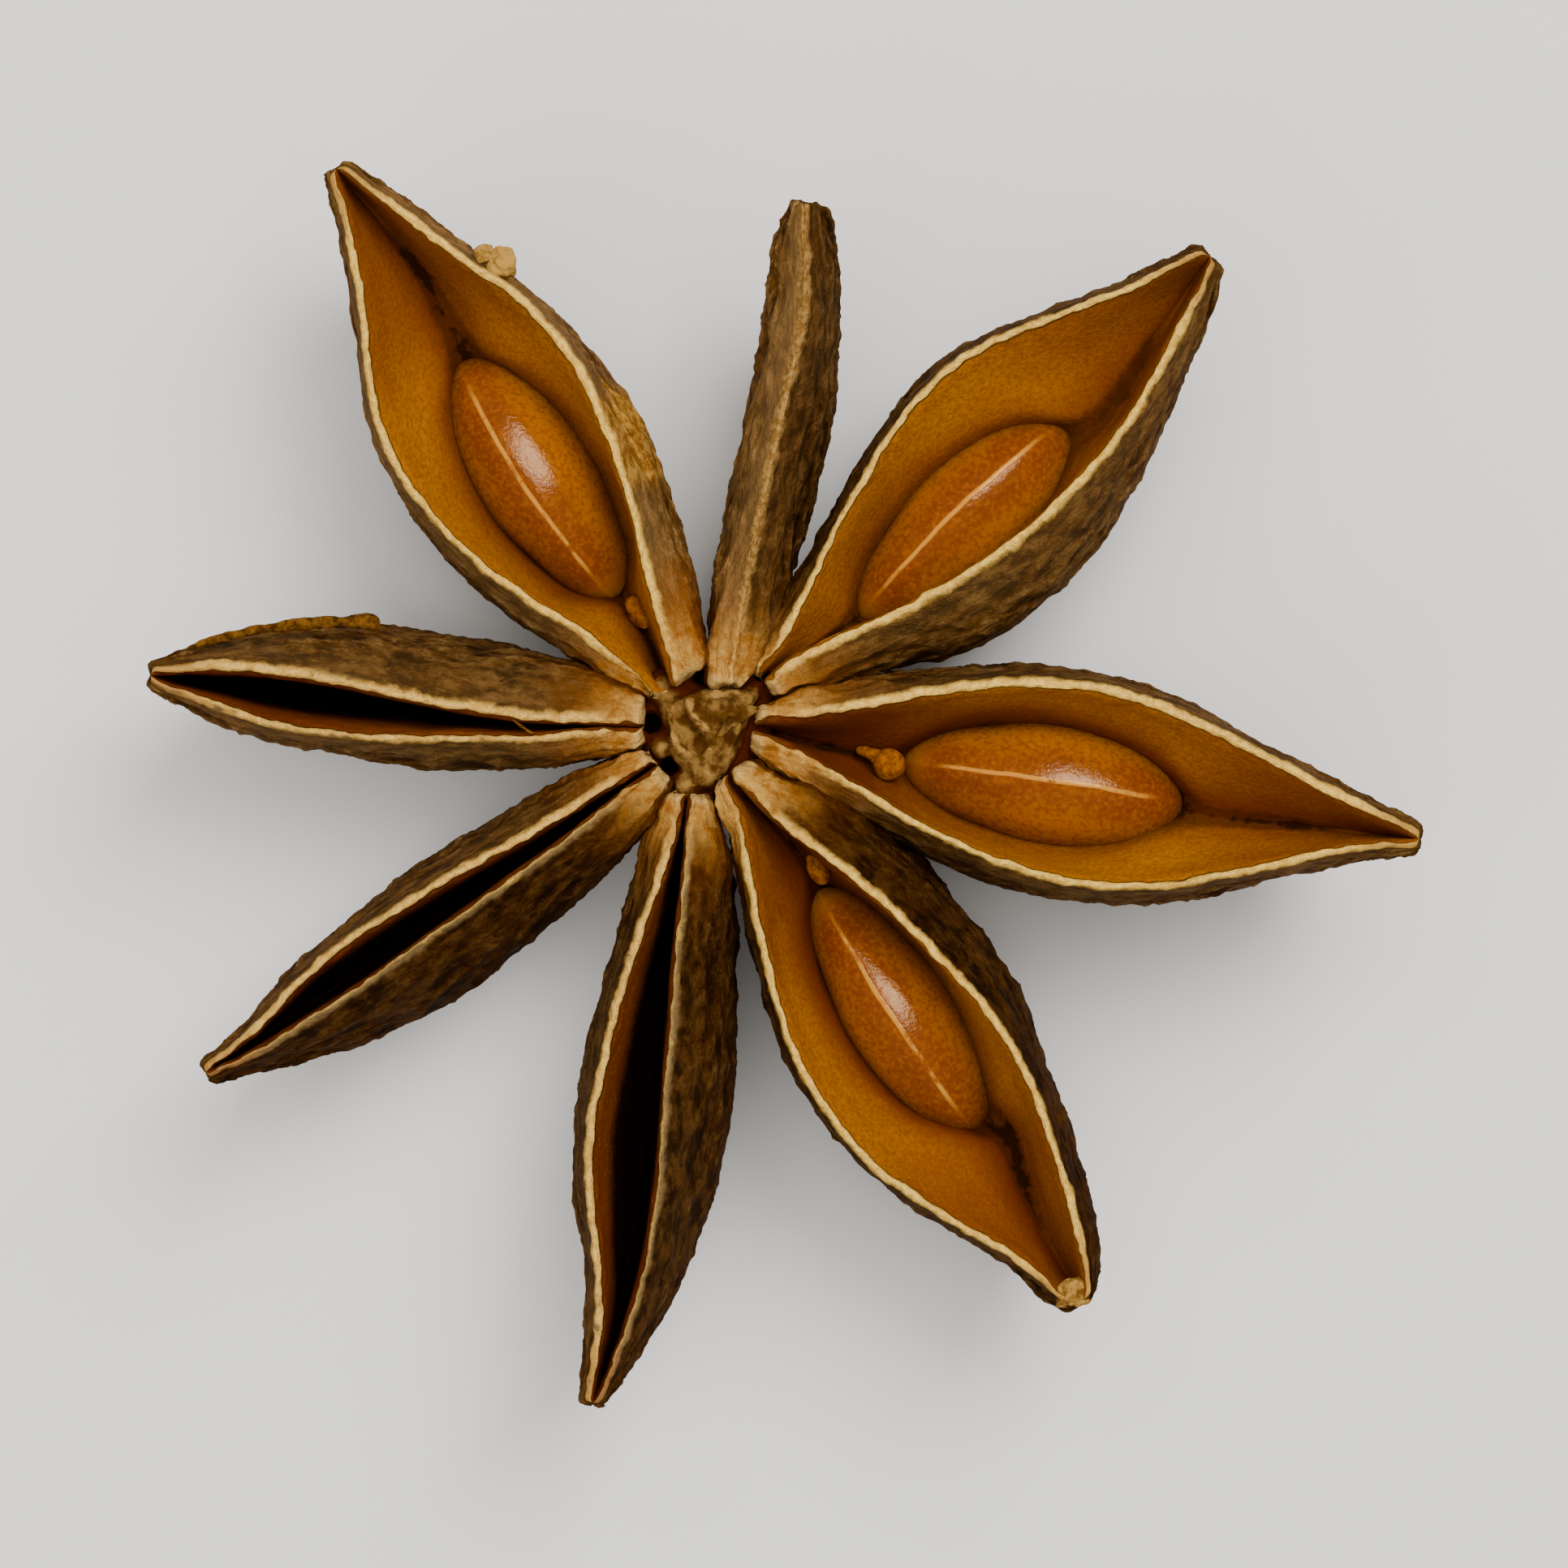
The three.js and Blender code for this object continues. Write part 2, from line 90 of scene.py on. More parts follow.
CARPELS = [
    dict(name="right", azimuth=-8.5, bounds=(36.5, -20), dark=(0.6, 0.55), depth=8.58, rise=0.7,
         lean=(0.3, -0.3), lips=(0.36, 0.28), cleft=2.7, deep=(0.85, 0.05),
         plan=((1.15, 1.2, 0.5, 0.2, -0.9), (2, 1.5, 0.62, 0.08, -1.1),
               (3, 1.8, 0.88, -0.27, -1.3), (4.5, 2.25, 1.42, -0.87, -1.65),
               (6, 2.6, 1.91, -1.48, -2.25), (8, 3.0, 2.39, -2.05, -2.8),
               (10, 3.05, 2.53, -2.27, -2.9), (12, 2.75, 2.2, -2.13, -2.7),
               (14, 2.0, 1.56, -1.47, -2.05), (16, 1.3, 0.86, -0.72, -1.25),
               (17.5, 0.8, 0.38, -0.22, -0.65), (18.8, 0.34, 0.05, 0.0, -0.28)),
         fold=((1.15, 0.35), (4, 0.05), (9, 0.0), (13, -0.2), (15.5, -0.08), (18.8, 0.02)),
         seed=dict(start=5.15, end=12.65, width=3.35, side=0.0, rib=0.13),
         knob=(4.8, -0.1, 0.84, 0.82),
         bits=(("stem", ((3.9, 0.18, -1.75, 0.14, 0.2), (4.15, 0.14, -1.6, 0.34, 0.36),
                         (4.45, 0.06, -1.5, 0.5, 0.5), (4.7, -0.04, -1.5, 0.5, 0.5))),)),
    dict(name="upper_right", azimuth=43.6, bounds=(12.4, -15.6), dark=(0.7, 0.5), depth=8.67,
         rise=0.9, lean=(-1.5, -1.3), lips=(0.26, 0.3), cleft=2.8, deep=(0.45, 0.25),
         plan=((1.95, 0.5, 0.26, 0.0, -0.6), (3, 0.9, 0.33, -0.03, -1.2),
               (4.5, 1.4, 0.85, -0.51, -1.9), (6, 1.8, 1.42, -1.02, -2.8),
               (8, 2.45, 2.05, -1.53, -3.5), (10, 2.8, 2.47, -1.78, -3.6),
               (12, 2.7, 2.34, -1.73, -3.15), (14, 1.95, 1.57, -1.41, -2.45),
               (16, 1.05, 0.72, -0.75, -1.6), (17.2, 0.75, 0.4, -0.38, -1.0),
               (18.1, 0.4, 0.08, -0.05, -0.4)),
         fold=((1.95, 0.12), (4.5, -0.4), (9, -0.65), (12.6, -1.15), (15.5, -0.6), (18.1, 0.0)),
         seed=dict(start=4.95, end=12.4, width=3.15, side=-0.62, rib=0.38), knob=None),
    dict(name="upper", azimuth=79.7, bounds=(12, -24), dark=(0.0, 0.65), depth=8.2, rise=1.3,
         lean=(0.0, -0.5), lips=(0.13, 0.13), cleft=0.0, deep=(1, 1),
         plan=((1.3, 0.3, -0.3, -0.34, -1.0), (3, 0.5, -0.22, -0.26, -1.25),
               (5, 0.54, -0.28, -0.32, -1.4), (7, 0.5, -0.29, -0.33, -1.55),
               (9, 0.47, -0.36, -0.4, -1.65), (11, 0.5, -0.46, -0.5, -1.45),
               (12.5, 0.55, -0.28, -0.32, -1.15), (13.5, 0.5, -0.05, -0.09, -0.85),
               (14.1, 0.36, 0.0, -0.04, -0.5)),
         fold=((1.3, -0.32), (5, -0.3), (11, -0.48), (14.1, -0.02)), seed=None, knob=None),
    dict(name="upper_left", azimuth=123.4, bounds=(25.4, -31), dark=(0.3, 0.15), depth=8.55, rise=0.6,
         lean=(-1.9, 0.3), lips=(0.3, 0.32), cleft=2.7, deep=(0.65, 0.25),
         plan=((1.5, 1.3, 0.42, 0.12, -0.9), (2.5, 1.4, 0.66, -0.23, -1.4),
               (4, 2.0, 1.14, -0.67, -2.0), (6, 2.75, 2.06, -1.42, -2.55),
               (8, 3.2, 2.65, -1.98, -3.0), (10, 3.25, 2.84, -2.26, -2.85),
               (12, 2.85, 2.47, -2.08, -2.5), (14, 1.85, 1.42, -1.27, -1.8),
               (16, 0.95, 0.54, -0.6, -1.05), (17.7, 0.32, 0.04, -0.04, -0.34)),
         fold=((1.5, 0.25), (3.5, -0.1), (8, 0.0), (12.2, -0.2), (14.5, -0.35), (17.7, 0.0)),
         seed=dict(start=4.25, end=11.8, width=3.25, side=0.02, rib=0.42),
         knob=(3.72, -0.2, 1.0, 0.5),
         bits=(("crumb", (13.15, -2.22, -0.35), (0.9, 0.6, 0.5), 0.36),
               ("crumb", (13.75, -2.02, -0.3), (0.44, 0.42, 0.36), 0.2),
               *[("fibre", ((x - 1.5, level + 0.06, 0.1, 0.14), (x - 1, level + 0.04, 0.26, 0.3),
                            (x - 0.5, level + 0.01, 0.28, 0.3), (x, level - 0.02, 0.08, 0.1)))
                 for x, level in ((9.4, 0.13), (9.0, 0.2), (8.7, 0.1), (8.3, 0.16), (8.1, 0.23),
                                  (7.8, 0.1), (7.5, 0.15), (7.4, 0.2))])),
    dict(name="left", azimuth=174.1, bounds=(19.8, -25.4), dark=(0.35, 0.54), depth=8.38, rise=0.2,
         lean=(-1.2, -1.4), lips=(0.27, 0.33), cleft=3.6, deep=(0, 1),
         plan=((1.7, 0.65, 0.03, -0.03, -1.15), (3, 1.0, 0.14, 0.07, -1.35),
               (4.6, 1.35, 0.46, 0.2, -1.6), (6, 1.5, 0.61, 0.13, -1.8),
               (8, 1.55, 0.81, -0.02, -1.9), (10, 1.45, 0.87, -0.24, -1.85),
               (11.5, 1.35, 0.76, -0.31, -1.6), (13, 0.95, 0.4, -0.27, -1.05),
               (14.7, 0.28, 0.04, -0.03, -0.3)),
         fold=((1.5, 0.0), (6, 0.25), (10, 0.0), (13, 0.0), (14.7, 0.0)), seed=None, knob=None,
         bits=(("peel", ((8.85, -1.98, -0.55, 0.3, 0.3), (9.05, -2.02, -0.55, 0.5, 0.46),
                         (9.4, -2.0, -0.55, 0.46, 0.42), (9.9, -1.93, -0.6, 0.34, 0.3),
                         (11, -1.78, -0.65, 0.34, 0.28), (12, -1.52, -0.65, 0.32, 0.26),
                         (13, -1.2, -0.6, 0.26, 0.22), (13.9, -0.8, -0.5, 0.14, 0.12))),
               ("splinter", ((4.45, 0.5, -0.1, 0.08, 0.1), (4.7, 0.42, -0.08, 0.14, 0.1),
                             (4.95, 0.28, -0.08, 0.12, 0.08), (5.2, 0.12, -0.1, 0.05, 0.05))))),
    dict(name="lower_left", azimuth=-146.2, bounds=(23.1, -19.8), dark=(0.95, 0.6), depth=8.1, rise=0,
         lean=(0.8, 1.0), lips=(0.22, 0.3), cleft=3.4, deep=(1, 1),
         plan=((1.55, 0.8, -0.05, -0.2, -0.85), (3, 1.2, -0.01, -0.22, -1.0),
               (5, 1.6, 0.17, -0.28, -1.15), (7, 1.9, 0.22, -0.44, -1.3),
               (9, 2.0, 0.27, -0.57, -1.3), (11, 1.85, 0.34, -0.57, -1.15),
               (12.5, 1.6, 0.32, -0.45, -0.98), (14, 1.05, 0.27, -0.07, -0.5),
               (15, 0.65, 0.2, 0.02, -0.3), (15.9, 0.3, 0.05, 0.0, -0.28)),
         fold=((1.55, -0.12), (7, 0.0), (11, 0.05), (15.9, 0.02)), seed=None, knob=None),
    dict(name="lower", azimuth=-99.9, bounds=(15, -23.1), dark=(0.9, 0.7), depth=8.42, rise=0.3,
         lean=(1.0, 1.4), lips=(0.22, 0.33), cleft=4.0, deep=(1, 0),
         plan=((1.6, 0.3, -0.25, -0.36, -0.9), (3, 1.0, -0.12, -0.35, -1.1),
               (5, 1.55, 0.03, -0.65, -1.35), (7, 1.9, 0.2, -0.95, -1.6),
               (9, 2.15, 0.38, -1.1, -1.7), (11, 2.2, 0.6, -1.1, -1.6),
               (12.5, 2.05, 0.68, -0.82, -1.35), (14, 1.75, 0.7, -0.36, -0.85),
               (15.5, 1.3, 0.51, -0.04, -0.5), (17, 0.65, 0.25, 0.0, -0.32),
               (17.8, 0.28, 0.05, 0.0, -0.24)),
         fold=((1.6, -0.3), (5, -0.2), (9, 0.0), (12, 0.2), (15, 0.3), (17.8, 0.02)),
         seed=None, knob=None),
    dict(name="lower_right", azimuth=-57, bounds=(28.5, -28), dark=(1.0, 0.8), depth=8.42, rise=0.3,
         lean=(1.2, 1.7), lips=(0.28, 0.3), cleft=2.7, deep=(0.2, 1),
         plan=((1.15, 0.5, -0.06, -0.3, -0.8), (2, 1.2, 0.0, -0.38, -0.85),
               (3, 1.8, 0.23, -0.7, -1.1), (4.5, 2.45, 0.77, -1.36, -1.75),
               (6, 2.9, 1.24, -1.91, -2.3), (8, 3.2, 1.72, -2.51, -2.9),
               (10, 3.15, 2.01, -2.67, -3.05), (12, 2.65, 2.0, -2.37, -2.7),
               (14, 2.25, 1.52, -1.55, -1.95), (16, 1.6, 0.95, -0.5, -0.9),
               (17.2, 0.95, 0.5, -0.25, -0.55), (17.8, 0.42, 0.15, 0.0, -0.3)),
         fold=((1.15, -0.18), (4, 0.3), (9, 0.25), (12.9, 0.85), (15, 0.35), (17.8, 0.1)),
         seed=dict(start=4.95, end=12.6, width=3.05, side=0.22, rib=-0.22),
         knob=(4.55, 0.45, 0.9, 0.46),
         bits=(("crumb", (17.5, 0.02, -0.4), (0.66, 1.15, 0.74), 0.26),)),
]

# A carpel's section has these rows on each side, from the keel up the outer skin, over the lip and
# down the inner wall to the crease. Outer rows are given by their level, as a part of the depth.

OUTER_LEVELS = (1, 0.985, 0.94, 0.87, 0.78, 0.68, 0.57, 0.46, 0.35, 0.25, 0.16, 0.08)
WALL_SHARES = (0.28, 0.55, 0.8, 1.0)    # of the way from a lip's inner edge to the pocket's rim
LIP_ROWS = 3                            # outer edge, crown and inner edge of a lip
ROWS = len(OUTER_LEVELS) + LIP_ROWS + len(WALL_SHARES) + 2
RINGS = 30                              # sections along a carpel
FINE = 3                                # levels of subdivision of a carpel

# The girth coordinate runs from 0 at the keel to these values, positive on the left side.

GIRTH_SKIN = 9.0                # at a lip's outer edge
GIRTH_LIP = 9.5                 # at a lip's inner edge
GIRTH_RIM = 12.0                # at the rim of a pocket
GIRTH_CREASE = 13.0             # at the crease
GRAIN_STRETCH = 0.55            # length of the grain map along a carpel, as a part of the real one
GRAIN_APART = 40.0              # how far apart the grain maps of two carpels lie


# ---- Curves along a carpel.

def mix(a, b, share):
    return a + (b - a) * share


def smooth(value, low, high):
    share = min(max((value - low) / (high - low), 0.0), 1.0)
    return share * share * (3 - 2 * share)


def along(table, x):
    """The values of a table at x, on a smooth curve through its stations."""
    last = len(table) - 1
    x = min(max(x, table[0][0]), table[last][0])
    i = max(k for k in range(last) if table[k][0] <= x)
    near, far = table[i], table[i + 1]
    step = far[0] - near[0]
    t = (x - near[0]) / step

    def slope(k, value):
        before, after = table[max(k - 1, 0)], table[min(k + 1, last)]
        return (after[value] - before[value]) / (after[0] - before[0])

    return [(2 * t**3 - 3 * t * t + 1) * near[v] + (3 * t * t - 2 * t**3) * far[v]
            + step * (t**3 - 2 * t * t + t) * slope(i, v) + step * (t**3 - t * t) * slope(i + 1, v)
            for v in range(1, len(near))]


def reach_of(carpel):
    return carpel["plan"][-1][0]


def lip_height(carpel, x):
    s = x / reach_of(carpel)
    return carpel["rise"] * s * s + LIP_ARCH * math.sin(math.pi * s)


def depth_at(carpel, x):
    s = x / reach_of(carpel)
    if s < DEEPEST:
        return carpel["depth"] * mix(ROOT_DEPTH, 1, math.sin(math.pi / 2 * s / DEEPEST))
    beyond = min((s - DEEPEST) / (1 - DEEPEST), 1.0)
    return carpel["depth"] * max(TIP_DEPTH, (1 - beyond**2.1) ** 0.72)


def roll_at(carpel, x):
    """The angle by which a section leans, to the left if positive, in radians."""
    return math.atan2(mix(*carpel["lean"], x / reach_of(carpel)), carpel["depth"])


def seed_half(carpel, x):
    """Half the width of the seed at a station, 0 beyond its ends."""
    seed = carpel["seed"]
    if seed is None:
        return 0.0
    middle = (seed["start"] + seed["end"]) / 2
    share = (x - middle) / ((seed["end"] - seed["start"]) / 2)
    return seed["width"] / 2 * math.sqrt(max(0.0, 1 - share * share))


# ---- The section of a carpel, as rows of (left, right, height) from the keel to the crease.

def section(carpel, x):
    s = x / reach_of(carpel)
    skin_left, left, right, skin_right = along(carpel["plan"], x)
    fold, = along(carpel["fold"], x)
    depth = depth_at(carpel, x) - KEEL_CLEAR
    slim = mix(1, 0.6, smooth(s, 0.86, 1))
    thick_left, thick_right = [value * slim for value in carpel["lips"]]
    free = FREE_SPACE * smooth(x, 2.2, 5)
    room_left, room_right = [math.tan(math.radians(angle)) * x + math.copysign(free, angle)
                             for angle in carpel["bounds"]]
    outer_left = min(left + thick_left, room_left - SEAM)
    outer_right = max(right - thick_right, room_right + SEAM)
    left = min(left, outer_left - THINNEST)
    right = max(right, outer_right + THINNEST)
    skin_left = min(max(skin_left, outer_left), max(room_left - SEAM, outer_left))
    skin_right = max(min(skin_right, outer_right), min(room_right + SEAM, outer_right))
    keel = (left + right) / 2 + mix(*carpel["lean"], s) * depth / carpel["depth"]
    widest = mix(0.2, 0.42, smooth(x, 1.5, 6))
    flat = mix(1.7, 1, smooth(x, 2, 6))

    def flank(outer, skin, level):
        if level < widest:
            return mix(outer, skin, math.sin(math.pi / 2 * level / widest) ** 0.8)
        share = (level - widest) / (1 - widest)
        return mix(keel, skin, (1 - share**2.3) ** 0.6)

    rows = [(flank(outer_left, skin_left, level), flank(outer_right, skin_right, level),
             -depth * level**flat) for level in OUTER_LEVELS]
    rows.append((outer_left, outer_right, -LIP_OUTER))
    rows.append((mix(left, outer_left, 0.5), mix(right, outer_right, 0.5), LIP_CROWN))
    rows.append((left, right, -LIP_INNER))

    # The pocket's rim follows the seed, and elsewhere it closes in on the crease.
    widths = [station[2] - station[3] for station in carpel["plan"]]
    opened = min((left - right) / max(widths), 1.0) if carpel["cleft"] > 1 else 1.0
    cleft = min(mix(ROOT_CLEFT, carpel["cleft"], opened**0.6), depth - HUSK_FLOOR)
    cleft = min(cleft, carpel["cleft"])
    seed = seed_half(carpel, x)
    with_seed = smooth(seed, 0, 0.9)
    rim = mix(cleft, POCKET, with_seed)
    side = mix(fold, carpel["seed"]["side"], with_seed) if seed else fold
    half = max(seed + POCKET_GAP * smooth(seed, 0, 0.5), CREASE_FLAT * (left - right))
    bow = mix(1.6, 2.2, with_seed)
    rim_left = min(side + half, left + 0.25)
    rim_right = max(side - half, right - 0.25)
    if not seed:
        rim_left = min(rim_left, left - 0.02)
        rim_right = max(rim_right, right + 0.02)
    low = min(max((rim_left - rim_right) / max(left - right, 0.05), 0.0), 0.9)
    for share in WALL_SHARES:
        height = 1 - share * (1 - low)
        fall = (1 - height**bow) / (1 - low**bow)
        rows.append((mix(left, rim_left, share), mix(right, rim_right, share),
                     -LIP_INNER - (rim - LIP_INNER) * fall))
    if carpel["cleft"] < 1:
        top = len(OUTER_LEVELS)
        rows += [(side + 0.01, side - 0.01, 0), (side, side, 0)]
        ridge = [-0.16, 0.0, 0.06] + [0.07] * (len(rows) - top - 3)
        return rows[:top] + [(left, right, z) for (left, right, _), z in zip(rows[top:], ridge)]
    rows.append((mix(side, rim_left, 0.6), mix(side, rim_right, 0.6), -rim - 0.09 - 1.2 * seed))
    rows.append((side, side, -rim - 0.14 - 1.6 * seed))
    return rows


# ---- Modelling by hand.

def start(add, name, **settings):
    """A new piece from one primitive, with nothing else selected."""
    bpy.ops.object.select_all(action="DESELECT")
    add(**settings)
    piece = bpy.context.object
    piece.name = piece.data.name = name
    bpy.ops.object.transform_apply(location=True, rotation=True, scale=True)
    return piece


def edit(piece):
    """Opens a piece for editing, with nothing selected, and returns its editable mesh."""
    bpy.context.view_layer.objects.active = piece
    bpy.ops.object.mode_set(mode="EDIT")
    bpy.ops.mesh.select_mode(type="VERT")
    bpy.ops.mesh.select_all(action="DESELECT")
    cage = bmesh.from_edit_mesh(piece.data)
    cage.verts.ensure_lookup_table()
    return cage


def close():
    bpy.ops.object.mode_set(mode="OBJECT")


def pick(cage, points):
    bpy.ops.mesh.select_all(action="DESELECT")
    for point in points:
        point.select = True
    cage.select_flush_mode()


def apply(piece, kind, name, **settings):
    """Adds a modifier to a piece and applies it."""
    bpy.context.view_layer.objects.active = piece
    modifier = piece.modifiers.new(name, kind)
    for key, value in settings.items():
        setattr(modifier, key, value)
    bpy.ops.object.modifier_apply(modifier=modifier.name)


def subdivide(piece, levels):
    apply(piece, "SUBSURF", "finer", levels=levels, render_levels=levels)


def relief(name, kind, size, **settings):
    texture = bpy.data.textures.new(name, kind)
    texture.noise_scale = size
    for key, value in settings.items():
        setattr(texture, key, value)
    return texture


def roughen(piece, texture, depth, group="", grain=None, direction="NORMAL"):
    """Pushes a piece's points, or a group of them, out and in by a texture, on its grain map or in
    space."""
    settings = dict(texture=texture, strength=depth, mid_level=0.5, vertex_group=group,
                    direction=direction)
    if grain:
        settings.update(texture_coords="UV", uv_layer=grain)
    apply(piece, "DISPLACE", texture.name, **settings)


def drag(piece, *pulls):
    """Drags the point nearest to each place, and smoothly what lies within reach of it."""
    cage = edit(piece)
    for place, move, reach in pulls:
        nearest = min(cage.verts, key=lambda point: (point.co - Vector(place)).length_squared)
        pick(cage, [nearest])
        bpy.ops.transform.translate(value=move, use_proportional_edit=True,
                                    proportional_edit_falloff="SMOOTH", proportional_size=reach)
    close()


def set_down(piece, azimuth):
    """Turns a piece to its azimuth, scales it to metres and puts it in its place in the frame."""
    bpy.ops.object.select_all(action="DESELECT")
    piece.select_set(True)
    bpy.context.view_layer.objects.active = piece
    piece.scale = (MM, MM, MM)
    piece.rotation_euler = (0, 0, math.radians(azimuth))
    piece.location = Vector((*AXIS, LIPS)) * MM
    bpy.ops.object.transform_apply(location=True, rotation=True, scale=True)
    bpy.ops.object.shade_smooth()


def belong(piece, material, slot, *nodes):
    piece.data.materials.clear()
    piece.data.materials.append(material)
    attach(piece, "root")
    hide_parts(*nodes)


# ---- Shader nodes.

class Wire:
    """A number, colour or vector on its way through a material, with the arithmetic of numbers."""

    def __init__(self, finish, socket):
        self.finish = finish
        self.socket = socket

    def math(self, operation, *values):
        return self.finish.node("Math", dict(operation=operation), dict(enumerate(values)))

    def __add__(self, other):
        return self.math("ADD", self, other)

    def __sub__(self, other):
        return self.math("SUBTRACT", self, other)

    def __mul__(self, other):
        return self.math("MULTIPLY", self, other)

    def __pow__(self, other):
        return self.math("POWER", self, other)

    def __rsub__(self, other):
        return self.math("SUBTRACT", other, self)

    def __abs__(self):
        return self.math("ABSOLUTE", self)

    __radd__ = __add__
    __rmul__ = __mul__


class Finish:
    """A material under construction."""

    def __init__(self, name):
        self.material = bpy.data.materials.new(name)
        self.material.use_nodes = True
        self.tree = self.material.node_tree
        self.shader = self.tree.nodes["Principled BSDF"]

    def plug(self, socket, value):
        if isinstance(value, Wire):
            self.tree.links.new(value.socket, socket)
        else:
            socket.default_value = value

    def node(self, kind, settings=None, sockets=None, out=0):
        """A node with its settings made and its sockets filled, as the wire from one output."""
        node = self.tree.nodes.new("ShaderNode" + kind)
        for key, value in (settings or {}).items():
            setattr(node, key, value)
        for key, value in (sockets or {}).items():
            self.plug(node.inputs[key], value)
        return Wire(self, node.outputs[out])

    def split(self, vector):
        node = self.tree.nodes.new("ShaderNodeSeparateXYZ")
        self.plug(node.inputs[0], vector)
        return [Wire(self, output) for output in node.outputs]

    def place(self, scale):
        """The point in space, in units of 1 / scale metres."""
        here = self.node("TexCoord", out="Object")
        return self.node("VectorMath", dict(operation="SCALE"), {0: here, "Scale": scale})

    def noise(self, vector, scale, detail=4.0, rough=0.55, bend=0.0):
        sockets = dict(Vector=vector, Scale=scale, Detail=detail, Roughness=rough, Distortion=bend)
        return self.node("TexNoise", sockets=sockets)

    def ridges(self, vector, scale, detail):
        settings = dict(noise_type="RIDGED_MULTIFRACTAL", normalize=True)
        sockets = dict(Vector=vector, Scale=scale, Detail=detail, Roughness=0.6)
        return self.node("TexNoise", settings, sockets)

    def step(self, value, low, high):
        """0 below low and 1 above high, smoothly; the other way round if low is the greater."""
        settings = dict(interpolation_type="SMOOTHSTEP")
        sockets = {"Value": value, "From Min": min(low, high), "From Max": max(low, high),
                   "To Min": float(low > high), "To Max": float(low < high)}
        return self.node("MapRange", settings, sockets)

    def blend(self, share, first, second, how="MIX"):
        settings = dict(data_type="RGBA", blend_type=how)
        return self.node("Mix", settings, {0: share, 6: first, 7: second}, out=2)

    def bump(self, height, strength, distance, under=None):
        sockets = dict(Height=height, Strength=strength, Distance=distance)
        if under:
            sockets["Normal"] = under
        return self.node("Bump", sockets=sockets)

    def surface(self, **values):
        for key, value in values.items():
            self.plug(self.shader.inputs[key.replace("_", " ")], value)
        return self.material


def tone(red, green, blue):
    """A colour given as seen on a screen, 0 to 255, as the shader's light values."""
    return tuple((c / 255 / 12.92 if c < 10.3 else ((c / 255 + 0.055) / 1.055) ** 2.4)
                 for c in (red, green, blue)) + (1.0,)


# ---- Finishes.

FRAYED = (-3.85, 9.15)          # the middle of a frayed patch on the upper left carpel, in mm


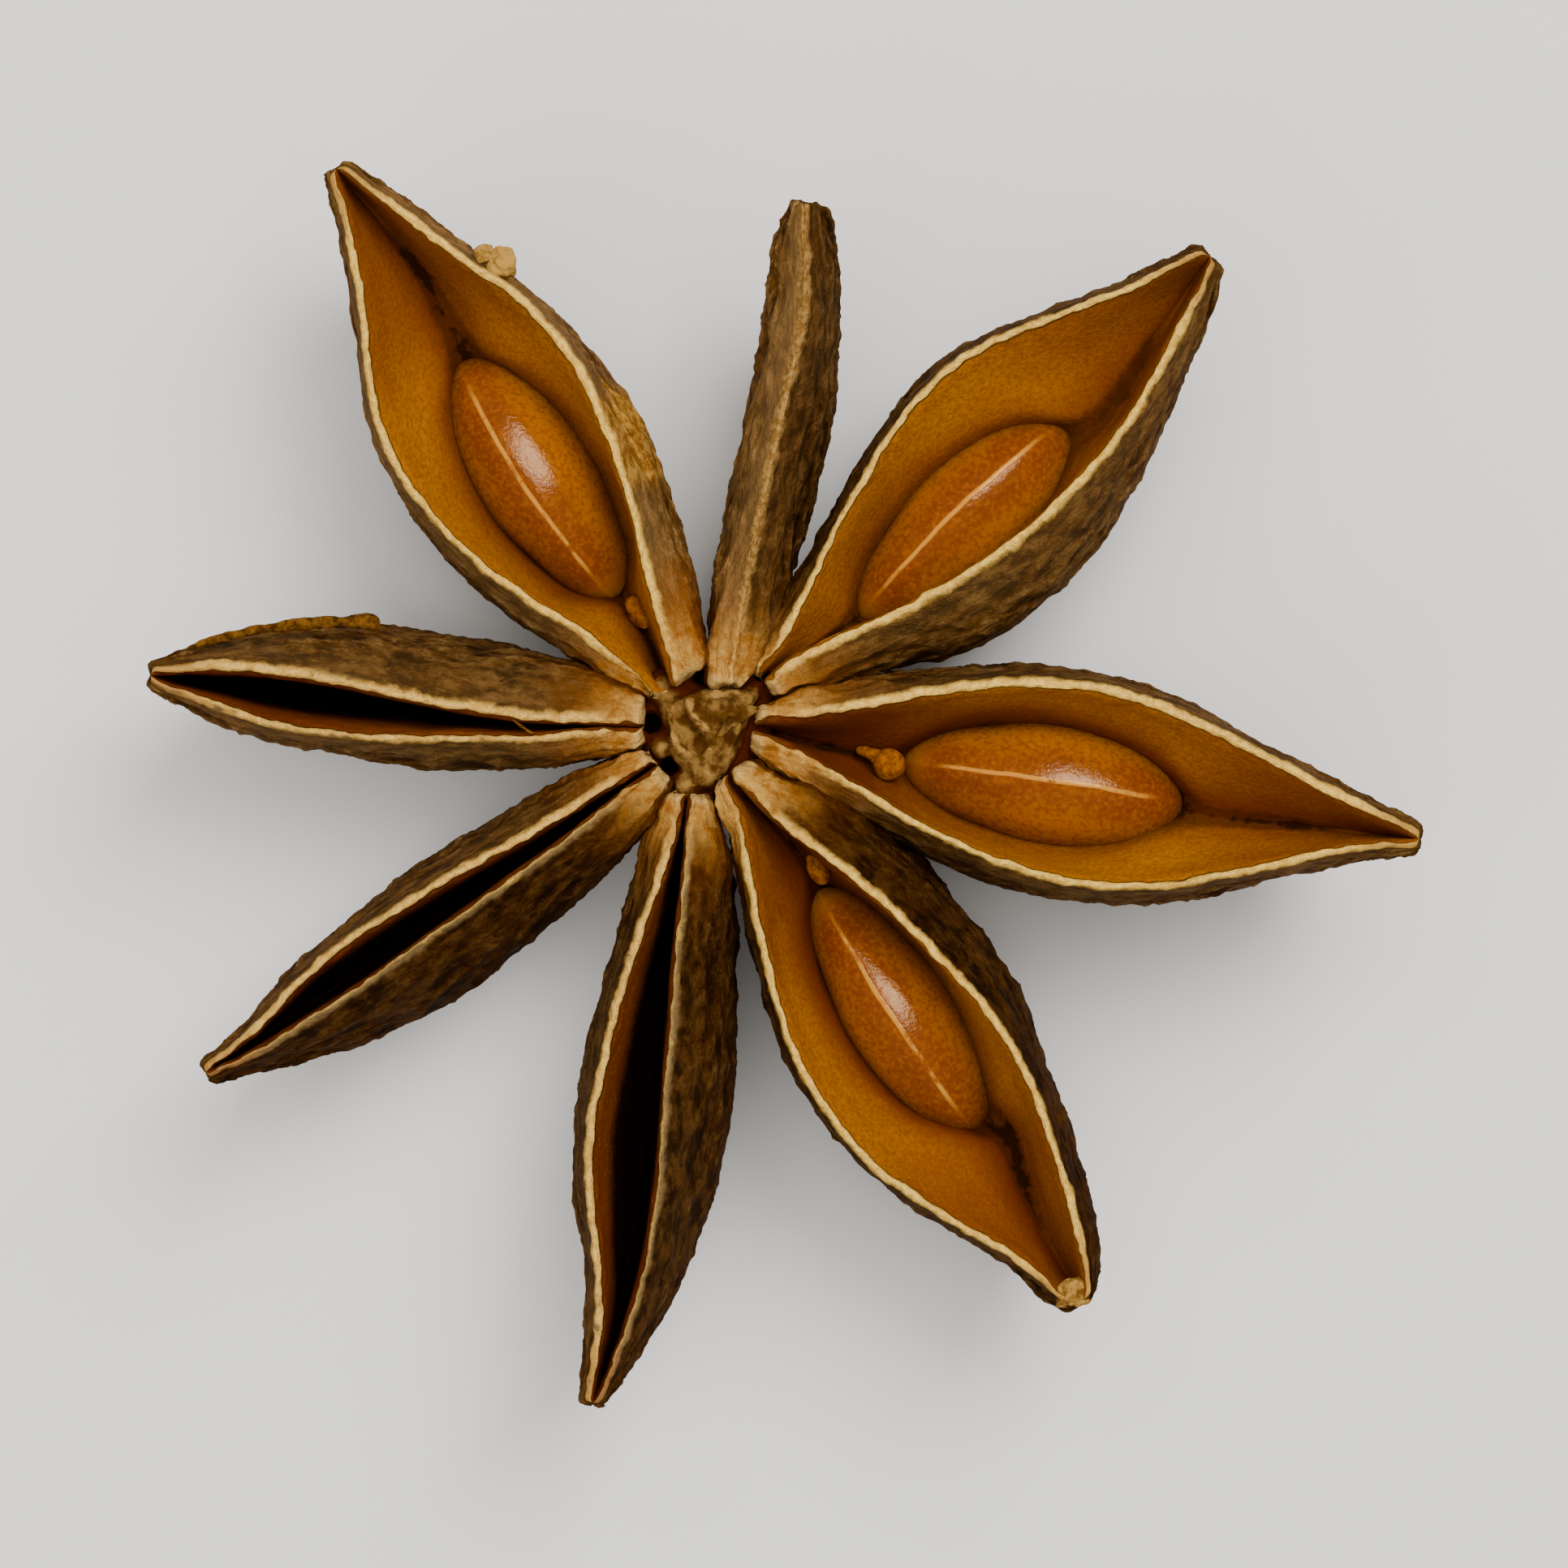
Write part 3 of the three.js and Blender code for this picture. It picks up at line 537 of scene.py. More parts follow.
def husk_finish(name, wall_colour, wall_shade, rim, soil, inner_shadow):
    """The husk: rough dark skin, pale lips and smooth inner walls, told apart by their girth."""
    finish = Finish(name)
    outward, girth, _ = finish.split(finish.node("UVMap", dict(uv_map="skin")))
    to_tip, to_root, _ = finish.split(finish.node("UVMap", dict(uv_map="ends")))
    dark, deep, _ = finish.split(finish.node("UVMap", dict(uv_map="sides")))
    grain = finish.node("UVMap", dict(uv_map="grain"))
    height = finish.node("Attribute", dict(attribute_name="relief"), out="Fac") * 1.35 - 0.05
    point = finish.place(1000.0)
    across, back, up = finish.split(point)
    around = abs(girth)
    patches = finish.noise(point, 0.42, 3)
    mottle = finish.noise(point, 1.6, 5, 0.62, 0.5)
    fibres = finish.noise(grain, 2.6, 5, 0.7, 0.3)
    creases = finish.ridges(grain, 1.5, 4)
    specks = finish.noise(point, 5.5, 4, 0.68)
    wander = (mottle - 0.5) * 1.1

    # Outer skin: brown, with fine tan wrinkles and grains, darkened nearly to black in its folds and
    # fine creases by its own dark colour and by painted shade.
    skin = finish.blend(finish.step(patches, 0.36, 0.66), tone(92, 54, 9), tone(108, 74, 32))
    skin = finish.blend(finish.step(fibres, 0.48, 0.66) * 0.6, skin, tone(136, 100, 54))
    skin = finish.blend(finish.step(specks + mottle * 0.5, 0.76, 0.92) * 0.4, skin, tone(140, 106, 62))
    worn = finish.step(height * 1.6 + (fibres - 0.5) * 0.6 + (specks - 0.5) * 0.5, 0.02, 0.3)
    skin = finish.blend(worn * 0.6, skin, tone(162, 126, 74))
    skin = finish.blend(finish.step(fibres, 0.5, 0.36) * 0.65, skin, tone(42, 20, 3))
    # painted shade in the folds and fine creases of the skin, over its own dark colour
    fold_shade = finish.step(height * 1.6 + (fibres - 0.5) * 0.6 + (mottle - 0.5) * 0.5, 0.0, -0.18)
    skin = finish.blend(fold_shade * 0.7, skin, tone(28, 12, 1))
    skin = finish.blend(finish.step(creases, 0.62, 0.8) * 0.35, skin, tone(28, 12, 1))
    shoulder = finish.step(around + wander * 1.2, 6.6, 8.6) * (1 - dark)
    skin = finish.blend(shoulder * 0.4, skin, tone(150, 114, 66))
    # each flank darkened by its dark value: aged skin, and painted shade on flanks turned from the
    # light
    skin = finish.blend(dark, skin, tone(142, 124, 96), "MULTIPLY")
    away = (across - FRAYED[0]) ** 2 + (back - FRAYED[1]) ** 2 + (fibres - 0.5) * 3
    straw = finish.blend(finish.step(fibres, 0.42, 0.58), tone(112, 70, 18), tone(176, 128, 54))
    skin = finish.blend(finish.step(away, 2.6, 0.9) * 0.85, skin, straw)

    # By the column the skin is red-brown, with tan pads on top that end at the scar and painted shade
    # in the valleys between them.
    inner = finish.step(outward + wander * 2, 5.2, 2.4)
    inner = inner * (0.8 - dark * 0.6) * (1.0 if soil else 0.35)
    skin = finish.blend(inner, skin, tone(116, 58, 6))
    # painted shade in the valleys between the pads
    valley_shade = finish.step(around + wander, 7.7, 6.9) * finish.step(outward, 4.2, 2.6)
    skin = finish.blend(valley_shade * 0.8, skin, tone(52, 16, 1))
    pad = finish.step(outward + wander * 2.5, 3.6, 1.9) * finish.step(around + wander, 7.5, 8.3)
    pale = finish.step(mottle + specks * 0.3 + around * 0.06, 1.04, 1.3)
    tan = finish.blend(pale, tone(151, 95, 31), tone(198, 148, 69))
    tan = finish.blend(finish.step(fibres, 0.5, 0.38) * 0.5, tan, tone(116, 58, 8))
    tan = finish.blend(finish.step(to_root + wander * 0.4, 0.36, 0.08) * 0.75, tan, tone(222, 179, 104))

    # Lips: cream, soiled in places, tan at the column and at the tip.
    lip = finish.step(around + wander * 0.4 + finish.step(to_tip, 3.4, 1.2) * 0.15,
                      GIRTH_SKIN - 0.08, GIRTH_SKIN + 0.22)
    cream = finish.blend(finish.step(specks, 0.4, 0.6), *rim)
    dirt = patches * 0.7 + mottle * 0.8 + specks * 0.3 - 0.46 + to_tip * -0.006
    dirt = dirt + finish.step(girth, -1, 1) * dark * (soil * 0.4)
    dirty = finish.step(dirt, 0.66 - soil * 0.2, 0.8 - soil * 0.2) * (0.5 + soil * 0.5)
    crest = finish.step(around + wander * 0.1, GIRTH_SKIN + 0.22, GIRTH_LIP - 0.14)
    cream = finish.blend(dirty * (1 - crest * 0.5), cream, tone(102, 80, 52))
    cream = finish.blend(finish.step(to_tip + wander, 2.2, 0.6) * (0.6 if soil else 0.1), cream,
                         tone(160, 106, 54))
    cream = finish.blend(finish.step(outward, 4.6, 2.2) * 0.4, cream, tone(190, 138, 74))

    # Inner wall: grainy ochre, with painted shade by the pocket, the column, the crease and the tip.
    inside = finish.step(around + wander * 0.1, GIRTH_LIP - 0.06, GIRTH_LIP + 0.08)
    streaks = finish.noise(grain, 1.2, 4, 0.55)
    grit = finish.noise(point, 8.0, 3, 0.7)
    wall = finish.blend(finish.step(streaks, 0.4, 0.68) * 0.35, wall_colour, wall_shade)
    wall = finish.blend(finish.step(grit, 0.46, 0.62) * 0.45, wall, tone(108, 50, 1))
    wall = finish.blend(finish.step(grit, 0.46, 0.34) * 0.25, wall, tone(184, 118, 14))
    # painted shade on the inner walls near the tip, more on the side turned from the light
    tip_shade = finish.step(to_tip + wander, 7.0, 3.5) * (deep * 0.2 + 0.36)
    wall = finish.blend(tip_shade, wall, tone(98, 34, 1))
    # painted shade on the inner wall turned from the light
    wall = finish.blend(deep * 0.22, wall, tone(100, 38, 1))
    # painted shade on the inner walls by the column, on the side turned from the light
    shaded = finish.step(across, -2.0, 0.5) * finish.step(back, 3.2, 1.6)
    column_shade = finish.step(outward + wander * 2, 7.5, 4.0) * (shaded * 0.85 + 0.02)
    wall = finish.blend(column_shade, wall, tone(84, 28, 1))
    # painted shade in the groove beside the seed, more on the side turned from the light
    pocket_shade = finish.step(around + wander * 0.3, GIRTH_RIM - 0.68, GIRTH_RIM + 0.05)
    wall = finish.blend(pocket_shade * (deep * 0.5 + 0.4), wall, tone(90, 34, 1))
    # painted shade down the ragged crease
    ragged = around + (fibres - 0.5) * 0.5 + (mottle - 0.5) * 0.6
    beyond = finish.step(to_tip + wander, 1.5, 3.2)
    crease_shade = finish.step(ragged, GIRTH_RIM - 0.05, GIRTH_RIM + 0.5) * (beyond * 0.45 + 0.3)
    wall = finish.blend(crease_shade, wall, tone(50, 18, 1))
    # painted shadow at the bottom of the cleft beyond the seed, lighter in the upper right carpel
    cleft_shadow = finish.step(around + (mottle - 0.5) * 2.2 + (patches - 0.5) * 1.5, GIRTH_RIM + 0.6,
                         GIRTH_RIM + 0.95) * beyond
    less_shadow = finish.step(across + back, 13.0, 16.0)    # in the upper right carpel
    wall = finish.blend(cleft_shadow * (0.85 - less_shadow * 0.5), wall, tone(22, 7, 1))
    # painted shadow deep inside closed carpels, reaching higher on the side turned from the light
    sunk = up + wander * 0.5 + (specks - 0.5) * 0.8 + (1 - deep) * 0.9
    sunk = finish.step(sunk, LIPS - 0.2, LIPS - 1.3) * inner_shadow
    wall = finish.blend(sunk, wall, tone(10, 3, 1))

    colour = finish.blend(lip, skin, cream)
    colour = finish.blend(pad * 0.9, colour, tan)
    colour = finish.blend(inside, colour, wall)
    rough_skin = (fibres + mottle * 0.4 + specks * 0.6 - creases * 0.5) * (1 - inside)
    bump = finish.bump(rough_skin, 0.8, 0.00022)
    bump = finish.bump(grit + streaks * 0.5, 0.6, 0.00007, bump)
    return finish.surface(
        Base_Color=colour, Roughness=0.92 - inside * 0.3, Normal=bump,
        Specular_IOR_Level=0.08, Specular_Tint=tone(255, 214, 160))


def seed_finish():
    """Glossy orange-brown seed coat with a fine pale line along its upper edge."""
    finish = Finish("seed coat")
    outward, girth, _ = finish.split(finish.node("UVMap", dict(uv_map="coat")))
    point = finish.place(1000.0)
    cloud = finish.noise(point, 0.7, 3)
    pores = finish.noise(point, 7.0, 3, 0.65)
    line = finish.step(abs(girth + (finish.noise(point, 0.8, 2) - 0.5) * 0.14), 0.085, 0.03)
    line = line * finish.step(outward, 0.95, 0.8) * finish.step(outward, 0.06, 0.2)
    line = line * finish.step(cloud + (pores - 0.5) * 0.4, 0.3, 0.5)
    colour = finish.blend(finish.step(cloud, 0.35, 0.68), tone(116, 55, 1), tone(128, 68, 2))
    # painted light: the seed's flanks lighter, against the shade of its pocket
    colour = finish.blend(finish.step(abs(girth), 0.4, 1.3) * 0.8, colour, tone(170, 100, 3))
    colour = finish.blend(finish.step(pores, 0.46, 0.62) * 0.46, colour, tone(98, 38, 1))
    colour = finish.blend(finish.step(pores, 0.48, 0.36) * 0.3, colour, tone(166, 94, 6))
    colour = finish.blend(finish.step(outward, 0.14, 0.0) * 0.6, colour, tone(174, 104, 20))
    colour = finish.blend(line * 0.75, colour, tone(206, 146, 50))
    bump = finish.bump(pores + line * 0.6, 0.22, 0.00007)
    return finish.surface(
        Base_Color=colour, Roughness=0.1 + pores * 0.08, Normal=bump, Subsurface_Weight=0.8,
        Subsurface_Radius=(1.0, 0.35, 0.06), Subsurface_Scale=0.003, Specular_IOR_Level=0.65,
        Specular_Tint=tone(255, 214, 166))


def column_finish():
    """The dry scar at the middle: tan and olive brown crumbs, with painted shade in its hollows,
    down its sides and in the pits round it.
    """
    finish = Finish("column scar")
    point = finish.place(1000.0)
    height = finish.node("Attribute", dict(attribute_name="relief"), out="Fac")
    lumps = finish.noise(point, 1.9, 4, 0.6)
    specks = finish.noise(point, 6.0, 4, 0.65)
    across, back, up = finish.split(point)
    colour = finish.blend(finish.step(lumps, 0.4, 0.6), tone(76, 46, 12), tone(124, 90, 42))
    # painted shade in the hollows of the scar
    hollow_shade = finish.step(height + (specks - 0.5) * 0.2 + (lumps - 0.5) * 0.4, 0.02, -0.14)
    colour = finish.blend(hollow_shade * 0.8, colour, tone(56, 28, 4))
    raised = finish.step(height + (specks - 0.5) * 0.35 + (lumps - 0.5) * 0.35, 0.07, 0.24)
    raised = raised * finish.step(up, LIPS - 0.4, LIPS - 0.15)
    colour = finish.blend(raised * 0.8, colour, tone(174, 131, 68))
    # painted shade down the sides of the column, then painted shadow, near black, under the carpels
    edge = up + (lumps - 0.5) * 0.5
    colour = finish.blend(finish.step(edge, LIPS - 0.36, LIPS - 0.6), colour, tone(66, 22, 1))
    colour = finish.blend(finish.step(up, LIPS - 0.85, LIPS - 1.15), colour, tone(14, 4, 1))
    # painted shadow in the pits round the scar
    for x, y, size in PITS:
        away = (across - (AXIS[0] + x)) ** 2 + (back - (AXIS[1] + y)) ** 2
        pit_shadow = finish.step(away + (lumps - 0.5) * size * size, size * size, size * size * 0.6)
        colour = finish.blend(pit_shadow * 0.92, colour, tone(12, 3, 1))
    return finish.surface(
        Base_Color=colour, Roughness=0.92, Normal=finish.bump(specks + lumps, 0.7, 0.00016),
        Specular_IOR_Level=0.06, Specular_Tint=tone(255, 214, 160))


def crumb_finish(name, dark, pale):
    """Small torn bits of husk: seed stalks, crumbs and frayed strands."""
    finish = Finish(name)
    point = finish.place(1000.0)
    height = finish.node("Attribute", dict(attribute_name="relief"), out="Fac")
    specks = finish.noise(point, 4.5, 5, 0.66)
    colour = finish.blend(finish.step(specks + height, 0.34, 0.66), dark, pale)
    return finish.surface(Base_Color=colour, Roughness=0.85,
                          Normal=finish.bump(specks, 0.6, 0.00014),
                          Specular_IOR_Level=0.08, Specular_Tint=tone(255, 214, 160))


def floor_finish():
    finish = Finish("pale table")
    point = finish.place(20.0)
    colour = finish.blend(finish.noise(point, 1.0, 2), tone(226, 223, 218), tone(233, 231, 227))
    return finish.surface(Base_Color=colour, Roughness=0.7)


# ---- Pieces.

def tube(name, rows, rings):
    """A closed tube one unit long along X, with points in lengthwise rows and even rings."""
    piece = start(bpy.ops.mesh.primitive_cylinder_add, name, vertices=rows, radius=1, depth=1,
                  end_fill_type="NGON", location=(0.5, 0, 0), rotation=(0, math.pi / 2, 0))
    cage = edit(piece)
    bpy.ops.mesh.select_mode(type="EDGE")
    for edge in cage.edges:
        edge.select = abs(edge.verts[0].co.x - edge.verts[1].co.x) > 0.5
    bpy.ops.mesh.subdivide(number_cuts=rings - 2)
    close()
    return piece


def row_girths(carpel, x):
    """The girth coordinate of each row of a section, in millimetres by the rim of the pocket."""
    skin = [GIRTH_SKIN * (1 - level) for level in OUTER_LEVELS]
    lip = [GIRTH_SKIN, (GIRTH_SKIN + GIRTH_LIP) / 2, GIRTH_LIP]
    _, left, right, _ = along(carpel["plan"], x)
    wide = min(max((left - right) / 2 - seed_half(carpel, x), 0.2), 2.2)
    wide = mix(wide, 1.3, 0.6)
    wall = [GIRTH_RIM - (1 - share) * wide for share in WALL_SHARES]
    return skin + lip + wall + [(GIRTH_RIM + GIRTH_CREASE) / 2, GIRTH_CREASE]


def map_skin(cage, grid, stations, carpel):
    """Maps a carpel: u in millimetres along it and v its girth, the same as stretched grain, the
    distances to its tip and its root, and how dark each flank is and how much painted shade each
    wall has. A sealed carpel is all lip on top."""
    offset = GRAIN_APART * CARPELS.index(carpel)
    sealed = carpel["cleft"] < 1
    place = {}
    for x, ring in zip(stations, grid):
        for girth, points in zip(row_girths(carpel, x), ring):
            for point in points:
                place[point] = (x, min(girth, GIRTH_SKIN + 0.25) if sealed else girth)
    skin = cage.loops.layers.uv.verify()
    grain = cage.loops.layers.uv.new("grain")
    ends = cage.loops.layers.uv.new("ends")
    sides = cage.loops.layers.uv.new("sides")
    for face in cage.faces:
        side = 1 if face.calc_center_median().y > 0 else -1
        flank = 0 if side > 0 else 1
        for loop in face.loops:
            u, v = place[loop.vert]
            loop[skin].uv = (u, side * v)
            loop[grain].uv = (offset + GRAIN_STRETCH * u, side * v)
            loop[ends].uv = (reach_of(carpel) - u, u - stations[0])
            loop[sides].uv = (carpel["dark"][flank], carpel["deep"][flank])


def shape_rings(cage, grid, stations, carpel):
    """Gives every ring of a tube the carpel's section, then leans it and puts it in its place."""
    for x, ring in zip(stations, grid):
        rows = section(carpel, x)
        roll = roll_at(carpel, x)
        _, left, right, _ = along(carpel["plan"], x)
        middle = (left + right) / 2
        for (left, right, height), points in zip(rows, ring):
            pick(cage, points)
            upright = [(y - middle + height * math.sin(roll)) / math.cos(roll)
                       for y in (left, right)]
            wide = 2 * abs(points[0].co.y)
            if len(points) > 1:
                bpy.ops.transform.resize(value=(1, (upright[0] - upright[1]) / wide, 1),
                                         center_override=(0, 0, 0))
            here = points[0].co
            bpy.ops.transform.translate(
                value=(x - here.x, (upright[0] + upright[1]) / 2, height - here.z))
        pick(cage, [point for points in ring for point in points])
        bpy.ops.transform.rotate(value=-roll, orient_axis="X", center_override=(x, 0, 0))
        bpy.ops.transform.translate(value=(0, middle, lip_height(carpel, x)))


def sorted_grid(cage):
    """The points of a tube as rings, each a list of rows: keel, pairs of (left, right), crease."""
    rings = {}
    for point in cage.verts:
        rings.setdefault(round(point.co.x, 3), []).append(point)
    grid = []
    for x in sorted(rings):
        by_height = {}
        for point in rings[x]:
            by_height.setdefault(round(point.co.z, 4), []).append(point)
        rows = [sorted(by_height[z], key=lambda point: -point.co.y) for z in sorted(by_height)]
        grid.append(rows)
    return grid


def weigh(piece, groups):
    """Vertex groups for the outer skin, the lips, the inner walls and the pads."""
    for name, weights in groups.items():
        group = piece.vertex_groups.new(name=name)
        for index, weight in weights:
            group.add([index], weight, "REPLACE")


def keep_relief(piece, before):
    """Stores how far each point of a piece has moved out, in millimetres."""
    moved = piece.data.attributes.new("relief", "FLOAT", "POINT")
    for vertex, (place, normal) in zip(piece.data.vertices, before):
        moved.data[vertex.index].value = (vertex.co - place).dot(normal)


def places(piece):
    return [(vertex.co.copy(), vertex.normal.copy()) for vertex in piece.data.vertices]


WRINKLES = relief("wrinkles", "MUSGRAVE", 1.9, musgrave_type="RIDGED_MULTIFRACTAL", octaves=3)
FOLDS = relief("folds", "CLOUDS", 3.2, noise_depth=2)
CRUMBLE = relief("crumble", "CLOUDS", 0.45, noise_depth=3)
WAVES = relief("waves", "CLOUDS", 1.6, noise_depth=1)
CRINKLES = relief("crinkles", "MUSGRAVE", 0.75, musgrave_type="RIDGED_MULTIFRACTAL", octaves=4)
SWAY = relief("sway", "CLOUDS", 0.55, noise_depth=2)
LUMPS = relief("lumps", "CLOUDS", 0.8, noise_depth=2)


def carpel_piece(carpel, material):
    piece = tube("carpel_" + carpel["name"], 2 * (ROWS - 1), RINGS)
    cage = edit(piece)
    grid = sorted_grid(cage)
    root = carpel["plan"][0][0]
    # Rings are closer together towards both ends.
    shares = [i / (RINGS - 1) for i in range(RINGS)]
    stations = [mix(root, reach_of(carpel), t - 0.07 * math.sin(math.tau * t)) for t in shares]
    map_skin(cage, grid, stations, carpel)
    shape_rings(cage, grid, stations, carpel)
    skin_rows = len(OUTER_LEVELS)
    weights = {"skin": [], "lip": [], "wall": [], "pad": []}
    for x, ring in zip(stations, grid):
        for row, points in enumerate(ring):
            group = "skin" if row < skin_rows else "lip" if row < skin_rows + LIP_ROWS else "wall"
            # The relief fades at the keel, on which the pod stands, and just under the lip.
            weight = {0: 0.08, 1: 0.2, 2: 0.6, skin_rows - 1: 0.5}.get(row, 1.0)
            pad = 1 - smooth(x, 2.0, 4.2) if skin_rows - 4 < row < skin_rows + LIP_ROWS else 0.0
            for point in points:
                weights[group].append((point.index, weight))
                weights["pad"].append((point.index, pad))
    close()
    piece.data.uv_layers[0].name = "skin"
    weigh(piece, weights)
    subdivide(piece, FINE)
    roughen(piece, FOLDS, 0.3, "skin", "grain")
    before = places(piece)
    roughen(piece, WRINKLES, 0.09, "skin", "grain")
    roughen(piece, CRINKLES, 0.045, "skin")
    keep_relief(piece, before)
    roughen(piece, SWAY, 0.16, "lip", direction="Y")
    roughen(piece, CRUMBLE, 0.06, "lip")
    roughen(piece, LUMPS, 0.36, "pad")
    roughen(piece, WAVES, 0.1, "wall")
    set_down(piece, carpel["azimuth"])
    belong(piece, material, "husk", "pod")


def seed_piece(carpel, material):
    """A seed on edge: an egg with a narrower inner end and a fine rib along the top."""
    seed = carpel["seed"]
    middle = (seed["start"] + seed["end"]) / 2
    size = ((seed["end"] - seed["start"]) / 2, seed["width"] / 2, SEED_HEIGHT / 2)
    piece = start(bpy.ops.mesh.primitive_uv_sphere_add, "seed_coat_" + carpel["name"],
                  segments=32, ring_count=24, radius=1, rotation=(0, math.pi / 2, 0))
    piece.scale = [1.015 * half for half in size]
    bpy.ops.object.transform_apply(location=False, rotation=False, scale=True)
    cage = edit(piece)
    coat = cage.loops.layers.uv.verify()
    for face in cage.faces:
        side = 1 if face.calc_center_median().y > 0 else -1
        for loop in face.loops:
            point = loop.vert.co
            turn = math.atan2(abs(point.y), point.z)
            loop[coat].uv = (0.5 + point.x / size[0] / 2, side * turn * math.hypot(point.y, point.z))
    rings = {}
    for point in cage.verts:
        rings.setdefault(round(point.co.x, 3), []).append(point)
    for x, points in rings.items():
        share = x / size[0]
        slim = 1 - 0.13 * smooth(-share, 0.0, 0.5) + 0.04 * max(0, share)
        pick(cage, points)
        bpy.ops.transform.resize(value=(1, slim, mix(1, slim, 0.5)), center_override=(0, 0, 0))
        top = [point for point in points if abs(point.co.y) < 0.02 and point.co.z > 0.3]
        if top:
            pick(cage, top)
            bpy.ops.transform.translate(value=(0, 0, SEED_RIB))
    close()
    piece.data.uv_layers[0].name = "coat"
    subdivide(piece, 2)
    sunk = SEED_SUNK + SEED_HEIGHT / 2
    piece.rotation_euler = (-math.asin(seed["rib"] / size[2]), 0, 0)
    piece.location = (middle, seed["side"], lip_height(carpel, middle) - sunk)
    bpy.ops.object.transform_apply(location=True, rotation=True, scale=True)
    set_down(piece, carpel["azimuth"])
    belong(piece, material, "seed", "seed_" + carpel["name"])


def crumb_piece(name, carpel, place, size, material, rough=0.2):
    """A lumpy bit, such as the knob by which a seed hung."""
    piece = start(bpy.ops.mesh.primitive_ico_sphere_add, name, subdivisions=5, radius=1)
    piece.scale = [length / 2 for length in size]
    piece.location = (place[0], place[1], lip_height(carpel, place[0]) + place[2])
    bpy.ops.object.transform_apply(location=True, rotation=True, scale=True)
    before = places(piece)
    roughen(piece, LUMPS, 2 * rough)
    roughen(piece, CRUMBLE, rough)
    keep_relief(piece, before)
    set_down(piece, carpel["azimuth"])
    belong(piece, material, "husk", "pod")


def on_flank(carpel, x, level):
    """The place on a carpel's right flank at a level, as its y and its z from the lips."""
    rows = section(carpel, x)[:len(OUTER_LEVELS)]
    y, height = along([(share, row[1], row[2]) for share, row in zip(OUTER_LEVELS, rows)][::-1],
                      level)
    _, left, right, _ = along(carpel["plan"], x)
    roll = roll_at(carpel, x)
    upright = (y - (left + right) / 2 + height * math.sin(roll)) / math.cos(roll)
    return y, upright * math.sin(roll) + height * math.cos(roll)


def strand_piece(name, carpel, path, material):
    """A torn strand of husk along a path of (x, y, z, width, thickness)."""
    piece = tube(name, 8, len(path))
    length = path[-1][0] - path[0][0]
    cage = edit(piece)
    for (x, y, z, width, thickness), ring in zip(path, sorted_grid(cage)):
        points = [point for row in ring for point in row]
        here = points[0].co.x
        pick(cage, points)
        bpy.ops.transform.resize(value=(1, width / 2, thickness / 2), center_override=(here, 0, 0))
        bpy.ops.transform.translate(value=(x - here, y, z + lip_height(carpel, x)))
    close()
    subdivide(piece, 3 if length < 1.5 else 4)
    before = places(piece)
    for texture in (LUMPS, CRUMBLE):
        roughen(piece, texture, 0.12)
    keep_relief(piece, before)
    set_down(piece, carpel["azimuth"])
    belong(piece, material, "husk", "pod")


# The outline of the scar in the middle, anticlockwise from the right, in millimetres.

SCAR = ((0.88, 0.2), (1.04, 0.66), (1.3, 1.14), (0.7, 1.18), (0.05, 1.1), (-0.55, 1.06),
        (-1.08, 0.95), (-1.24, 0.6), (-1.1, 0.2), (-0.95, -0.3), (-0.72, -0.82), (-0.4, -1.2),
        (-0.12, -1.36), (0.24, -1.1), (0.52, -0.78), (0.72, -0.34))

# Ridges on the scar, each from one point to another with its height. Then hollows and lumps, each
# with its place, how far it is pushed and the reach of that. The pits are deep holes round the
# scar, painted black with shadow, each with its place and radius.

RIDGES = (((-0.62, 0.95), (-0.34, 0.42), 0.05), ((-0.34, 0.42), (-0.04, 0.14), 0.06),
          ((-1.1, 0.0), (-0.82, -0.3), 0.04), ((-0.82, -0.3), (-0.5, -0.68), 0.03),
          ((0.95, 0.45), (0.72, -0.5), 0.03), ((0.1, 1.1), (0.5, 1.18), 0.05),
          ((0.5, 1.1), (0.95, 1.08), 0.04), ((0.2, 0.5), (0.62, 0.36), 0.03))
HOLLOWS = (((-0.1, 0.8, -0.1), -0.1, 0.35), ((0.45, 0.8, -0.1), -0.12, 0.4),
           ((-0.6, 0.5, -0.1), -0.08, 0.35), ((0.55, 0.0, -0.1), -0.14, 0.35),
           ((-0.2, -0.3, -0.1), -0.12, 0.5), ((0.3, -0.62, -0.1), -0.12, 0.45),
           ((-0.15, -0.95, -0.1), 0.08, 0.4), ((-1.3, 1.1, -0.7), 0.42, 0.7),
           ((-1.25, -0.32, -0.7), 0.48, 0.6), ((-0.62, -1.35, -0.7), 0.42, 0.6))
PITS = ((-1.5, 0.3, 0.27), (-1.06, -0.86, 0.27), (-0.16, 1.5, 0.24), (1.42, 1.55, 0.17))


def place_ring(cage, outline, scale, z):
    """Sets the selected ring of points on an outline, both taken anticlockwise."""
    ring = sorted((point for point in cage.verts if point.select),
                  key=lambda point: math.atan2(point.co.y, point.co.x) % math.tau)
    for point, (x, y) in zip(ring, outline):
        pick(cage, [point])
        bpy.ops.transform.translate(
            value=(scale * x - point.co.x, scale * y - point.co.y, z - point.co.z))
    pick(cage, ring)


